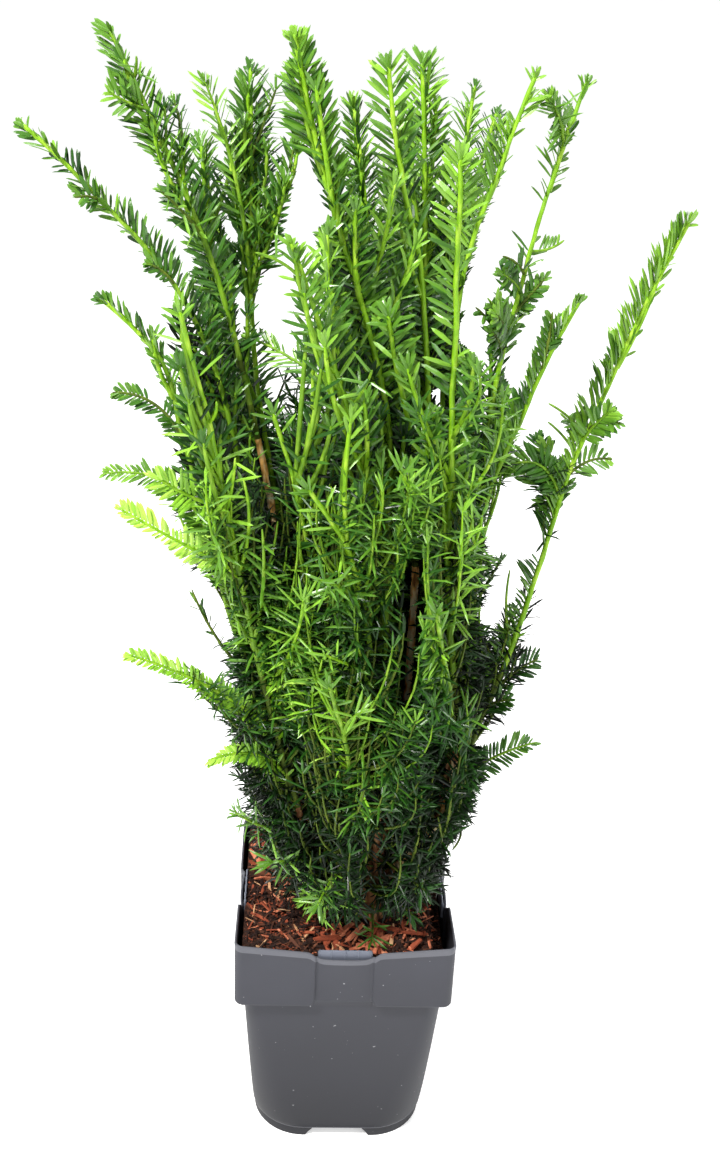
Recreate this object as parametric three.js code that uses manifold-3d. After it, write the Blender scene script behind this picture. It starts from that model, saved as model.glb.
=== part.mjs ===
// Multi-stemmed English yew growing in a square grey nursery pot.
// Millimetres, +Z up. The origin is on the ground, at the centre of the pot's
// underside; -Y is the front of the plant and +X its right-hand side.
//
// The pot is a thin-walled shell with a stepped rim band, the substrate fills
// it, one short stem stands on the substrate and forks into boughs. Round the
// boughs lies a body of foliage in three tiers of lobes, and above it every
// leader carries its own plume of needles.

import * as THREE from 'three';
import Module from 'manifold-3d';

const wasm = await Module();
wasm.setup();

// ---------------------------------------------------------------- main sizes

const GAP = 0.3;               // air between pieces that touch
const DATUM = 4;               // heights below are taken from a level this much above the ground

// pot
const POT_H = 255;             // corners of the rim
const RIM_HALF = 105;          // half width across the rim band
const RIM_R = 9;               // corner radius of the rim band
const BAND_RECESS = 3;         // middle panel lies this far behind the corners
const RECESS_HALF = 27;        // half width of the middle panel
const BAND_Z = 188;            // underside of the middle panel
const CORNER_DROP = 3.5;       // corner panels reach this much lower
const RIM_SHOULDER = 6;        // rim falls this much from corner to recess
const RIM_LIP = 16;            // and this much at the middle panel
const BODY_TOP_HALF = 97;
const BODY_TOP_R = 13;
const BODY_BOT_HALF = 87.5;
const BODY_BOT_R = 53;
const WALL = 2.0;
const BASE_Z = 7;              // underside of the floor between the feet
const FLOOR_T = 2.5;
const PAD_R = 26;              // central pad that stands on the ground
const FOOT_T = 3.5;            // thickness of the corner skirts
const HOLE_R = 8;              // drain holes
const HOLE_POS = 47;

// label pockets that stand inside the rim, one to a side
const POCKET_HALF = 26.5;
const POCKET_T = 2.4;
const POCKET_Z0 = 229;
const POCKET_Z1 = 247;

// substrate
const SOIL_Z = 239.6;          // level patch round the stem
const SOIL_EDGE = 236;
const DITCH = 15;              // gap between root ball and right-hand wall
const DITCH_Z = 212;

// stem
const FOOT = [25, -34, SOIL_Z + GAP + 0.1];
const FORK = [29, -27, 285];
const FLARE_R = 14.5;
const STEM_R = 8.6;

// Leaders. Each one is a smooth curve that leaves another limb at the fraction
// `at` of its length and ends at `tip`; `bow` is its sideways sag half-way,
// `sway` and `wave` are the gentle double and triple bends along it.
// r is the radius at its foot. plume: [height at which its plume of needles
// starts, radius of the plume at its foot, middle and tip]; side: how far the
// plume stands off its leader where the needles are all turned upwards.
const LEADERS = {
  centre: { on: 'stem', at: 1, tip: [39, 60, 1029], bow: [20, -10, 0], sway: [1, 0, -1], r: 6.2, plume: [752, 27, 25, 14] },
  l2: { on: 'stem', at: 0.78, tip: [-63, -70, 1055], bow: [37, 6, 3], sway: [-5, 0, -2], wave: [-8, 0, -2], r: 4.6, plume: [752, 27, 25, 14] },
  l1: { on: 'stem', at: 0.49, tip: [-141, -165, 874], bow: [-34, 16, -18], sway: [-14, -1, -10], wave: [-5, 0, -5], r: 4.4, plume: [700, 27, 24, 17] },
  a: { on: 'stem', at: 0.89, tip: [-216, 40, 1045], bow: [12, -9, -7], sway: [-16, 0, -11], r: 5.0, plume: [752, 26, 23, 12] },
  l5: { on: 'stem', at: 0.67, tip: [51, -130, 984], bow: [46, 13, -12], sway: [22, -1, -7], wave: [11, 0, -3], r: 5.2, plume: [752, 25, 19, 16] },
  l3: { on: 'centre', at: 0.32, tip: [6, -25, 1038], bow: [15, 2, 2], sway: [2, 0, 0], r: 3.2, plume: [752, 25, 23, 13] },
  e: { on: 'l2', at: 0.09, tip: [-64, -150, 909], bow: [35, 15, 1], sway: [-1, 0, -4], wave: [-4, 0, -2], r: 3.2, plume: [744, 27, 24, 16] },
  i: { on: 'stem', at: 0.62, tip: [-45, -150, 738], bow: [27, 13, 8], sway: [-3, 0, -2], r: 4.0 },
  s2: { on: 'stem', at: 0.4, tip: [-29, -160, 569], bow: [-5, 9, -1], sway: [-12, 0, -4], r: 3.6 },
  b: { on: 'a', at: 0.12, tip: [-282, 0, 978], bow: [36, -3, 24], sway: [-24, 0, -13], r: 3.4, plume: [752, 19, 11, 6], side: [0, 0, 1] },
  c: { on: 'l1', at: 0.15, tip: [-221, -60, 854], bow: [16, 2, 15], sway: [-13, 0, -9], wave: [9, 0, 7], r: 3.2, plume: [768, 18, 12, 6], side: [3, 0, 5] },
  d: { on: 'a', at: 0.07, tip: [-105, 100, 1015], bow: [-26, -13, -2], sway: [4, -1, 0], r: 3.6, plume: [872, 28, 27, 14] },
  l6: { on: 'l5', at: 0.18, tip: [131, 40, 1027], bow: [-28, -9, 5], sway: [15, 0, -2], r: 3.2, plume: [752, 20, 15, 7], side: [-6, 0, 0] },
  l7: { on: 'l5', at: 0.13, tip: [179, 80, 1017], bow: [-16, -12, 4], sway: [10, -1, -2], r: 3.4, plume: [752, 17, 13, 10], side: [-1, 0, 0] },
  l8: { on: 'l5', at: 0.12, tip: [269, 30, 916], bow: [-9, -7, 4], sway: [5, 0, -2], r: 3.6, plume: [655, 15, 12, 8], side: [-4, 0, 1] },
  l9: { on: 'l8', at: 0.1, tip: [172, -20, 857], bow: [-18, -1, 5], sway: [6, 0, -2], r: 3.0, plume: [700, 16, 11, 5], side: [-4, 0, 1] },
  h1: { on: 'centre', at: 0.1, tip: [40, 190, 975], bow: [11, -17, 5], sway: [3, -2, 0], r: 3.4, plume: [705, 26, 22, 12] },
  h2: { on: 'l2', at: 0.14, tip: [-16, 140, 993], bow: [14, -15, 5], sway: [-1, -2, 0], r: 3.4, plume: [705, 24, 22, 13] },
  h3: { on: 'centre', at: 0.06, tip: [93, 170, 1001], bow: [13, -17, 4], sway: [10, -2, -1], r: 3.6, plume: [700, 22, 18, 8] },
  h4: { on: 'h3', at: 0.13, tip: [124, 210, 975], bow: [-1, -16, 8], sway: [9, -3, -2], r: 3.2, plume: [700, 22, 18, 12] },
  h5: { on: 'd', at: 0.08, tip: [-151, 150, 959], bow: [-15, -15, 1], sway: [4, -2, 1], r: 3.2, plume: [700, 26, 23, 11] },
  h6: { on: 'd', at: 0.18, tip: [-142, 200, 893], bow: [-10, -16, 3], sway: [0, -2, 1], r: 3.0 },
  h7: { on: 'centre', at: 0.03, tip: [21, 250, 908], bow: [5, -19, 8], sway: [-2, -4, 1], r: 3.4, plume: [700, 26, 23, 13] },
  f2: { on: 'l5', at: 0.1, tip: [8, -100, 872], bow: [12, 8, -4], sway: [9, 0, -2], wave: [5, 0, -1], r: 3.0, plume: [744, 24, 20, 12] },
};

// Side shoots that reach beyond the body of the crown: slim plumes of their own.
const SHOOTS = {
  s_lowleft: { on: 'l1', at: 0.37, tip: [-191, -130, 577], bow: [3, 2, 7], pr: 13 },
  s_left470: { on: 'c', at: 0.57, tip: [-217, -50, 705], bow: [13, 0, 22], pr: 12 },
  s_left500: { on: 'l1', at: 0.63, tip: [-196, -120, 703], bow: [0, 0, -1], pr: 13 },
  s_left390: { on: 'c', at: 0.73, tip: [-206, -60, 779], bow: [5, 0, 11], pr: 12 },
  s_right740: { on: 'l5', at: 0.2, tip: [168, -60, 458], bow: [-4, 0, 6], pr: 13 },
  s_right466: { on: 'l8', at: 0.57, tip: [126, -10, 707], bow: [5, 0, 16], pr: 15 },
  s_d2: { on: 'd', at: 0.69, tip: [-66, 60, 958], bow: [-3, 0, 0], pr: 19 },
};

// Body of the crown: its reach to left, right, front and back of the origin at
// each height.
const GIRTH = [
  [246, -46, 62, -88, 40],
  [300, -84, 86, -108, 90],
  [350, -101, 116, -120, 114],
  [396, -104, 122, -130, 130],
  [430, -112, 112, -136, 142],
  [480, -118, 128, -142, 152],
  [527, -112, 124, -146, 164],
  [575, -118, 106, -150, 176],
  [648, -142, 112, -152, 188],
  [700, -158, 124, -154, 196],
  [770, -164, 128, -156, 204],
];
// Free space round the boughs inside the body: radius at each height.
const HEART = [[246, 24], [300, 33], [385, 44], [404, 40], [430, 13], [560, 11], [770, 10]];

// Tiers of the body: heights, and the bearings that part their lobes.
const TIERS = [
  { z: [246, 402], top: 15, part: [-152, -42, 38, 128], names: ['low_front', 'low_right', 'low_back', 'low_left'] },
  { z: [402.7, 566], foot: 15, top: 15, part: [-118, -30, 62, 150], names: ['middle_front', 'middle_right', 'middle_back', 'middle_left'] },
  { z: [566.7, 745], tops: [748, 738, 694, 690, 735], foot: 15, part: [-140, -62, 20, 92, 160], names: ['upper_front', 'upper_right', 'upper_back_right', 'upper_back_left', 'upper_left'] },
];

// ---------------------------------------------------------------- small tools

const V = (x, y, z) => new THREE.Vector3(x, y, z);
const lerp = (a, b, t) => a + (b - a) * t;

// repeatable unevenness in -1..1
function rough(seed, i, j) {
  const s = Math.sin(seed * 12.9898 + i * 78.233 + j * 37.719) * 43758.5453;
  return 2 * (s - Math.floor(s)) - 1;
}

// value of a table of [key, ...values] rows at a key
function table(rows, key, col) {
  if (key <= rows[0][0]) return rows[0][col];
  for (let k = 1; k < rows.length; k++) {
    if (key <= rows[k][0]) {
      const t = (key - rows[k - 1][0]) / (rows[k][0] - rows[k - 1][0]);
      return lerp(rows[k - 1][col], rows[k][col], t);
    }
  }
  return rows[rows.length - 1][col];
}

// closed solid through a stack of rings with equal point counts
function loft(rings, hubs = [null, null]) {
  const n = rings[0].length;
  const pos = [];
  const tri = [];
  for (const ring of rings) for (const p of ring) pos.push(p.x, p.y, p.z);
  for (let k = 0; k + 1 < rings.length; k++) {
    for (let j = 0; j < n; j++) {
      const a = k * n + j, b = k * n + (j + 1) % n, c = a + n, d = b + n;
      tri.push(a, b, d, a, d, c);
    }
  }
  [0, rings.length - 1].forEach((k, e) => {
    const hub = hubs[e] || rings[k].reduce((s, p) => s.add(p), V(0, 0, 0)).divideScalar(n);
    const h = pos.length / 3;
    pos.push(hub.x, hub.y, hub.z);
    for (let j = 0; j < n; j++) {
      const a = k * n + j, b = k * n + (j + 1) % n;
      if (k === 0) tri.push(h, b, a); else tri.push(h, a, b);
    }
  });
  return solid(pos, tri);
}

// solid from points and triangles, turned so that its faces point outwards
function solid(pos, tri) {
  let vol = 0;
  const p = (i) => V(pos[3 * i], pos[3 * i + 1], pos[3 * i + 2]);
  for (let k = 0; k < tri.length; k += 3) {
    vol += p(tri[k]).dot(p(tri[k + 1]).cross(p(tri[k + 2])));
  }
  if (vol < 0) {
    for (let k = 0; k < tri.length; k += 3) [tri[k + 1], tri[k + 2]] = [tri[k + 2], tri[k + 1]];
  }
  const mesh = new wasm.Mesh({ numProp: 3, vertProperties: new Float32Array(pos), triVerts: new Uint32Array(tri) });
  return new wasm.Manifold(mesh);
}

function boxOf(s) {
  const m = s.getMesh();
  const b = new THREE.Box3();
  for (let k = 0; k < m.vertProperties.length; k += m.numProp) {
    b.expandByPoint(V(m.vertProperties[k], m.vertProperties[k + 1], m.vertProperties[k + 2]));
  }
  return b;
}

// largest connected piece of a solid
function largest(s) {
  const m = s.getMesh();
  const nv = m.vertProperties.length / m.numProp;
  const up = Array.from({ length: nv }, (_, k) => k);
  const find = (k) => { while (up[k] !== k) { up[k] = up[up[k]]; k = up[k]; } return k; };
  const t = m.triVerts;
  if (m.mergeFromVert) for (let k = 0; k < m.mergeFromVert.length; k++) up[find(m.mergeFromVert[k])] = find(m.mergeToVert[k]);
  for (let k = 0; k < t.length; k += 3) {
    up[find(t[k])] = find(t[k + 1]);
    up[find(t[k + 1])] = find(t[k + 2]);
  }
  const P = (i) => V(m.vertProperties[m.numProp * i], m.vertProperties[m.numProp * i + 1], m.vertProperties[m.numProp * i + 2]);
  const vol = new Map();
  for (let k = 0; k < t.length; k += 3) {
    const r = find(t[k]);
    vol.set(r, (vol.get(r) || 0) + P(t[k]).dot(P(t[k + 1]).cross(P(t[k + 2]))) / 6);
  }
  if (vol.size < 2) return s;
  const best = [...vol.entries()].sort((a, b) => b[1] - a[1])[0][0];
  const pos = [], tri = [], map = new Map();
  for (let k = 0; k < t.length; k += 3) {
    if (find(t[k]) !== best) continue;
    for (let j = 0; j < 3; j++) {
      const v = t[k + j];
      if (!map.has(v)) {
        map.set(v, pos.length / 3);
        const q = P(v);
        pos.push(q.x, q.y, q.z);
      }
      tri.push(map.get(v));
    }
  }
  return solid(pos, tri);
}

function geometryOf(s) {
  const m = s.getMesh();
  const g = new THREE.BufferGeometry();
  const pos = new Float32Array((m.vertProperties.length / m.numProp) * 3);
  for (let k = 0; k < pos.length / 3; k++) for (let j = 0; j < 3; j++) pos[3 * k + j] = m.vertProperties[m.numProp * k + j];
  g.setAttribute('position', new THREE.BufferAttribute(pos, 3));
  g.setIndex(new THREE.BufferAttribute(new Uint32Array(m.triVerts), 1));
  g.computeVertexNormals();
  return g;
}

// ---------------------------------------------------------------- limb curves

class Limb extends THREE.Curve {
  constructor(root, o) {
    super();
    this.root = root;
    this.o = o;
  }

  getPoint(t) {
    const { tip, bow, sway = [0, 0, 0], wave = [0, 0, 0] } = this.o;
    const r = [this.root.x, this.root.y, this.root.z];
    const c = [0, 1, 2].map((k) => r[k] + (tip[k] - r[k]) * t + 4 * t * (1 - t) * bow[k]
      + Math.sin(2 * Math.PI * t) * sway[k] + Math.sin(3 * Math.PI * t) * wave[k]);
    return V(...c);
  }

  // fraction of the limb at which it first reaches a height
  atHeight(z) {
    for (let k = 0; k <= 400; k++) if (this.getPoint(k / 400).z >= z) return k / 400;
    return 1;
  }
}

const foot = V(...FOOT);
const fork = V(...FORK);
const limbs = {};
for (const [name, o] of Object.entries({ ...LEADERS, ...SHOOTS })) {
  const root = o.on === 'stem' ? foot.clone().lerp(fork, o.at) : limbs[o.on].getPoint(o.at);
  limbs[name] = new Limb(root, o);
}

// uneven tube round a stretch of a limb
function tube(limb, t0, t1, radius, { sides = 7, steps = 6, seed = 1, uneven = 0, side = null, grow = 0 } = {}) {
  const rings = [];
  for (let k = 0; k <= steps; k++) {
    const s = k / steps;
    const t = lerp(t0, t1, s);
    const p = limb.getPoint(Math.min(t, 1));
    const d = limb.getPoint(Math.min(t, 1)).sub(limb.getPoint(Math.min(t, 1) - 0.01)).normalize();
    if (t > 1) p.addScaledVector(d, (t - 1) * limb.o.reach);
    if (side) p.addScaledVector(V(...side), 1 - s * s);
    if (grow && k === 0) p.addScaledVector(d, -grow);
    if (grow && k === steps) p.addScaledVector(d, grow);
    const ref = Math.abs(d.x) < 0.8 ? V(1, 0, 0) : V(0, 1, 0);
    const u = ref.addScaledVector(d, -ref.dot(d)).normalize();
    const v = d.clone().cross(u);
    const ring = [];
    for (let j = 0; j < sides; j++) {
      const a = (2 * Math.PI * (j + 0.35 * (k % 2))) / sides;
      const r = radius(s) * (1 + uneven * rough(seed, k, j)) + grow;
      ring.push(p.clone().addScaledVector(u, r * Math.cos(a)).addScaledVector(v, r * Math.sin(a)));
    }
    rings.push(ring);
  }
  return loft(rings);
}

// ---------------------------------------------------------------- pot

// one turn round a rounded square; marks along each side keep the same order at
// every level, so levels can be lofted together
const MARKS = [-1, -RECESS_HALF - 1.5, -RECESS_HALF, -9, 9, RECESS_HALF, RECESS_HALF + 1.5, 1];
const CORNER_STEPS = 3;

function potRing(half, r, z, recess = 0, zOf = null) {
  const ring = [];
  for (let side = 0; side < 4; side++) {
    const turn = (side * Math.PI) / 2;
    const put = (u, out, mark) => {
      // side 0 faces -Y: u runs along +X, out points to -Y
      const x = u * Math.cos(turn) + out * Math.sin(turn);
      const y = u * Math.sin(turn) - out * Math.cos(turn);
      ring.push(V(x, y, zOf ? zOf(mark) : z));
    };
    const a = half - r;
    for (const m of MARKS) {
      const u = Math.abs(m) === 1 ? m * a : m;
      const inMiddle = Math.abs(m) <= RECESS_HALF && Math.abs(m) !== 1;
      put(u, half - (inMiddle ? recess : 0), Math.abs(m) === 1 ? 99 : m);
    }
    for (let k = 1; k < CORNER_STEPS; k++) {
      const w = (k / CORNER_STEPS) * (Math.PI / 2);
      put(a + r * Math.sin(w), a + r * Math.cos(w), 99);
    }
  }
  return ring;
}

function rimHeight(mark) {
  const m = Math.abs(mark);
  if (m === 99) return POT_H;
  if (m > RECESS_HALF) return POT_H - RIM_SHOULDER;
  return POT_H - RIM_LIP;
}
const bandFoot = (mark) => (Math.abs(mark) > RECESS_HALF ? BAND_Z - CORNER_DROP : BAND_Z);

function bodyHalf(z) { return lerp(BODY_BOT_HALF, BODY_TOP_HALF, (z - BASE_Z) / (BAND_Z - BASE_Z)); }
function bodyRadius(z) {
  const t = (z - BASE_Z) / (BAND_Z - BASE_Z);
  return lerp(BODY_BOT_R, BODY_TOP_R, Math.pow(t, 0.62));
}

function pot() {
  const outer = [];
  for (const z of [BASE_Z, 30, 80, BAND_Z - 6]) outer.push(potRing(bodyHalf(z), bodyRadius(z), z));
  outer.push(potRing(RIM_HALF, RIM_R, 0, BAND_RECESS, bandFoot));
  outer.push(potRing(RIM_HALF, RIM_R, 0, BAND_RECESS, rimHeight));
  let s = loft(outer, [null, V(0, 0, POT_H)]);
  const inner = [];
  for (const z of [BASE_Z + FLOOR_T, 30, 80, BAND_Z - 6 + WALL]) inner.push(potRing(bodyHalf(z) - WALL, bodyRadius(z) - WALL, z));
  inner.push(potRing(RIM_HALF - WALL, RIM_R - WALL, 0, BAND_RECESS, (m) => bandFoot(m) + WALL + 1.5));
  inner.push(potRing(RIM_HALF - WALL, RIM_R - WALL, POT_H + 20, BAND_RECESS));
  s = s.subtract(loft(inner));
  // drain holes
  for (const [i, j] of [[1, 1], [1, -1], [-1, 1], [-1, -1]]) {
    s = s.subtract(round(HOLE_POS * i, HOLE_POS * j, HOLE_R, BASE_Z - 3, BASE_Z + FLOOR_T + 3, 8));
  }
  // corner skirts that the pot stands on, and the pad in the middle
  for (let side = 0; side < 4; side++) s = s.add(skirt(side));
  s = s.add(round(0, 0, PAD_R, -DATUM, BASE_Z + 1, 12));
  return s;
}

function round(x, y, r, z0, z1, n) {
  const g = new THREE.CylinderGeometry(r, r, z1 - z0, n, 1).rotateX(Math.PI / 2);
  const p = g.getAttribute('position');
  // rings are read off the side wall of the cylinder
  const low = [], high = [];
  for (let k = 0; k < n; k++) {
    high.push(V(p.getX(k) + x, p.getY(k) + y, z1));
    low.push(V(p.getX(k) + x, p.getY(k) + y, z0));
  }
  return loft([low, high]);
}

function skirt(side) {
  const turn = (side * Math.PI) / 2;
  const a = BODY_BOT_HALF - BODY_BOT_R;
  const rows = [];
  const ends = 9;                       // straight run past each end of the bend
  const path = [[a - ends, 0], [a, 0]];
  const n = 5;
  for (let k = 1; k < n; k++) path.push([null, (k / n) * (Math.PI / 2)]);
  path.push([a, 1], [a - ends, 1]);
  path.forEach(([u, w], idx) => {
    const at = (inset) => {
      let x, y;
      const R = BODY_BOT_R - inset;
      if (u === null) { x = a + R * Math.sin(w); y = -(a + R * Math.cos(w)); }
      else if (w === 0) { x = u; y = -(BODY_BOT_HALF - inset); }
      else { x = BODY_BOT_HALF - inset; y = -u; }
      return [x * Math.cos(turn) - y * Math.sin(turn), x * Math.sin(turn) + y * Math.cos(turn)];
    };
    const [xo, yo] = at(0.4), [xi, yi] = at(0.4 + FOOT_T), [xb, yb] = at(1.6);
    const end = idx === 0 || idx === path.length - 1;
    const zLow = end ? BASE_Z - 2 : -DATUM;
    rows.push([V(xo, yo, BASE_Z + 1), V(xb, yb, zLow), V(xi, yi, zLow), V(xi, yi, BASE_Z + 1)]);
  });
  return loft(rows);
}

// ribbed label pocket: a low plate behind the middle of the rim
function pocket(side) {
  const turn = (side * Math.PI) / 2;
  const out = RIM_HALF - BAND_RECESS - WALL - GAP - 0.1;
  const put = (u, o, z) => V(u * Math.cos(turn) + o * Math.sin(turn), u * Math.sin(turn) - o * Math.cos(turn), z);
  const rings = [POCKET_Z0, POCKET_Z1 - 2, POCKET_Z1].map((z, k) => {
    const h = POCKET_HALF - (k === 2 ? 1.5 : 0);
    return [put(-h, out, z), put(h, out, z), put(h, out - POCKET_T, z), put(-h, out - POCKET_T, z)];
  });
  return loft(rings);
}

// ---------------------------------------------------------------- substrate

function soil() {
  const c = 0.5;
  const rings = [];
  for (const z of [BASE_Z + FLOOR_T + c, 30, 80, BAND_Z - 7]) rings.push(potRing(bodyHalf(z) - WALL - c, bodyRadius(z) - WALL, z));
  const top = RIM_HALF - WALL - POCKET_T - 1.6;
  const clip = (ring, z0) => {
    // the root ball has drawn away from the right-hand wall
    for (const p of ring) if (p.x > top - DITCH) p.x = top - DITCH;
    ring.forEach((p, k) => { if (z0) p.z = z0 + 2.2 * rough(5, k, 1); });
    return ring;
  };
  rings.push(potRing(bodyHalf(BAND_Z) - WALL - 1.5, BODY_TOP_R, BAND_Z));
  rings.push(potRing(top, 8, BAND_Z + 10, BAND_RECESS));
  rings.push(potRing(top, 8, DITCH_Z, BAND_RECESS));
  rings.push(clip(potRing(top, 8, DITCH_Z + 1, BAND_RECESS)));
  rings.push(clip(potRing(top - 1.5, 8, SOIL_EDGE - 3, BAND_RECESS), SOIL_EDGE - 3));
  const mid = clip(potRing(top * 0.74, 16, SOIL_EDGE + 3), SOIL_EDGE + 2);
  rings.push(mid);
  // level patch round the stem
  const n = rings[0].length;
  const patch = [];
  for (let k = 0; k < n; k++) {
    const q = mid[k];
    const a = Math.atan2(q.y - FOOT[1], q.x - FOOT[0]);
    patch.push(V(FOOT[0] + 24 * Math.cos(a), FOOT[1] + 24 * Math.sin(a), SOIL_Z));
  }
  rings.push(patch);
  return loft(rings, [null, V(FOOT[0], FOOT[1], SOIL_Z)]);
}

// ---------------------------------------------------------------- stem

function mainStem() {
  const steps = 7, sides = 12;
  const rings = [];
  for (let k = 0; k <= steps; k++) {
    const s = k / steps;
    const p = foot.clone().lerp(fork, s);
    const flare = (FLARE_R - STEM_R) * Math.pow(1 - Math.min(1, s * 1.9), 2);
    const knuckle = 1.4 * Math.exp(-Math.pow((s - 0.95) / 0.16, 2)) - (s === 1 ? 3.2 : 0);
    const ring = [];
    for (let j = 0; j < sides; j++) {
      const a = (2 * Math.PI * j) / sides;
      const lobes = 1 + 0.34 * (flare / FLARE_R) * Math.cos(5 * a + 0.6) * 2 + 0.05 * rough(9, k, j);
      const r = (STEM_R + flare + knuckle) * lobes;
      ring.push(V(p.x + r * Math.cos(a), p.y + r * Math.sin(a), p.z));
    }
    rings.push(ring);
  }
  return loft(rings);
}

// ---------------------------------------------------------------- body lobes

const axis = (z) => {
  const c = limbs.centre;
  if (z < FORK[2]) return foot.clone().lerp(fork, Math.max(0, (z - FOOT[2]) / (FORK[2] - FOOT[2])));
  return c.getPoint(c.atHeight(z));
};

// distance from the axis to the edge of the body at a bearing
function reach(z, a) {
  const p = axis(z);
  const c = Math.cos(a), s = Math.sin(a);
  const ex = c < 0 ? p.x - table(GIRTH, z, 1) : table(GIRTH, z, 2) - p.x;
  const ey = s < 0 ? p.y - table(GIRTH, z, 3) : table(GIRTH, z, 4) - p.y;
  const k = 2.3;
  return 1 / Math.pow(Math.pow(Math.abs(c) / ex, k) + Math.pow(Math.abs(s) / ey, k), 1 / k);
}

function lobe(tier, k, seed, grow = 0) {
  const z0 = tier.z[0];
  const z1 = tier.tops ? tier.tops[k] : tier.z[1];
  const rad = (d) => (d * Math.PI) / 180;
  const a0 = rad(tier.part[k]);
  let a1 = rad(tier.part[(k + 1) % tier.part.length]);
  if (a1 < a0) a1 += 2 * Math.PI;
  const outerSteps = 5, innerSteps = 2, levels = 5;
  const slit = 0.3 - grow;
  const rings = [];
  for (let l = 0; l <= levels; l++) {
    const s = l / levels;
    const z = lerp(z0 - grow, z1 + grow, s);
    const p = axis(z);
    const end = l === 0 || l === levels;
    const endRound = end ? 0.86 : 1;
    // tiers meet along a surface that rises and falls round the crown
    const wavy = end ? (l ? tier.top : tier.foot) || 0 : lerp(tier.foot || 0, tier.top || 0, s);
    const lift = (a) => wavy * (Math.sin(2 * a + 1.1) + 0.5 * Math.sin(3 * a + 0.4));
    const ring = [];
    for (let j = 0; j <= outerSteps; j++) {
      const a = lerp(a0, a1, j / outerSteps);
      const edge = j === 0 || j === outerSteps;
      const r = reach(z, a) * endRound * (edge ? 0.95 : 1) * (1 + (edge ? 0.03 : 0.085) * rough(seed, l, j)) + grow;
      const off = edge ? (j === 0 ? 1 : -1) * slit / r : 0;
      ring.push(V(p.x + r * Math.cos(a + off), p.y + r * Math.sin(a + off), z + lift(a)));
    }
    for (let j = innerSteps; j >= 0; j--) {
      const a = lerp(a0, a1, j / innerSteps);
      const edge = j === 0 || j === innerSteps;
      const r = Math.max(2, table(HEART, z, 1) - grow);
      const off = edge ? (j === 0 ? 1 : -1) * slit / r : 0;
      ring.push(V(p.x + r * Math.cos(a + off), p.y + r * Math.sin(a + off), z));
    }
    rings.push(ring);
  }
  return loft(rings);
}

// ---------------------------------------------------------------- assembly

const yew = new THREE.Group();
const COLOURS = {
  plastic: [0x5f6066, 0.62], pocket: [0x9a9ca2, 0.5], bark: [0x6b4a33, 0.9], twig: [0x7f9a35, 0.7],
  soil: [0x3b241a, 1.0], low: [0x1f4a24, 0.7], middle: [0x2f6a2a, 0.65], top: [0x5a9a2a, 0.6], lime: [0x8fc93a, 0.55],
};

function put(name, s, colour) {
  const [c, roughness] = COLOURS[colour];
  const m = new THREE.Mesh(geometryOf(s).translate(0, 0, DATUM), new THREE.MeshStandardMaterial({ color: c, roughness, metalness: 0 }));
  m.name = name;
  yew.add(m);
}

put('pot', pot(), 'plastic');
['front', 'right', 'back', 'left'].forEach((n, k) => put(`label_pocket_${n}`, pocket(k), 'pocket'));
put('soil', soil(), 'soil');
put('main_stem', mainStem(), 'bark');

// Pieces that others are cut round: name, solid grown by the gap, its box.
const taken = [];
function take(name, make, colour) {
  let s = make(0);
  const b = boxOf(s).expandByScalar(1);
  for (const o of taken) if (o.box.intersectsBox(b)) s = s.subtract(o.grown);
  s = largest(s);
  put(name, s, colour);
  const grown = make(GAP + 0.05);
  taken.push({ name, grown, box: boxOf(grown) });
}

TIERS.forEach((tier, ti) => tier.names.forEach((n, k) => {
  take(`foliage_${n}`, (g) => lobe(tier, k, 11 + 7 * ti + k, g), ['low', 'middle', 'middle'][ti]);
}));

// right-hand shoulder where the far leader leaves the body
take('foliage_right_shoulder', (g) => tube(limbs.l8, 0.2, 0.43,
  (s) => 26 - 10 * s, { steps: 3, seed: 40, uneven: 0.14, grow: g }), 'middle');

// plumes of the leaders: uneven spindles that end a little beyond the tip
const PLUME_NAMES = {
  centre: 'plume_centre', l2: 'plume_centre_left', l1: 'plume_front_left', a: 'plume_left', l5: 'plume_front_right',
  l3: 'plume_inner_centre', e: 'plume_front', b: 'plume_far_left', c: 'plume_left_low', d: 'plume_back_left_inner',
  l6: 'plume_right', l7: 'plume_right_tall', l8: 'plume_far_right', l9: 'plume_right_low', h1: 'plume_back',
  h2: 'plume_back_inner', h3: 'plume_back_right', h4: 'plume_back_far_right', h5: 'plume_back_left', h7: 'plume_far_back',
  f2: 'plume_front_inner',
};
const order = ['l5', 'l2', 'l1', 'a', 'centre', 'e', 'd', 'b', 'c', 'l8', 'l7', 'l6', 'l9', 'l3', 'h1', 'h2', 'h3', 'h4', 'h5', 'h7', 'f2'];
order.forEach((n, k) => {
  const limb = limbs[n];
  limb.o.reach = 600;
  const [z0, ra, rb, rc] = limb.o.plume;
  const t0 = limb.atHeight(z0 - 16);
  const shape = (s) => table([[0, ra * 0.85], [0.12, ra], [0.5, rb], [0.9, rc], [1, rc * 0.55]], s, 1);
  take(PLUME_NAMES[n], (g) => tube(limb, t0, 1.016, shape, { steps: 6, seed: 60 + k, uneven: 0.13, side: limb.o.side, grow: g }), 'top');
});

// side shoots
const SHOOT_NAMES = {
  s_lowleft: 'shoot_low_left', s_left470: 'shoot_left', s_left500: 'shoot_front_left', s_left390: 'shoot_upper_left',
  s_right740: 'shoot_low_right', s_right466: 'shoot_right', s_d2: 'shoot_back_left',
};
Object.entries(SHOOTS).forEach(([n, o], k) => {
  const limb = limbs[n];
  limb.o.reach = 160;
  const shape = (s) => o.pr * (0.7 + 0.3 * Math.sin(Math.PI * Math.min(1, 0.15 + s))) * (s > 0.8 ? 0.75 : 1);
  take(SHOOT_NAMES[n], (g) => tube(limb, 0.12, 1.01, shape, { sides: 6, steps: 4, seed: 90 + k, uneven: 0.12, grow: g }), 'lime');
});

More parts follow.
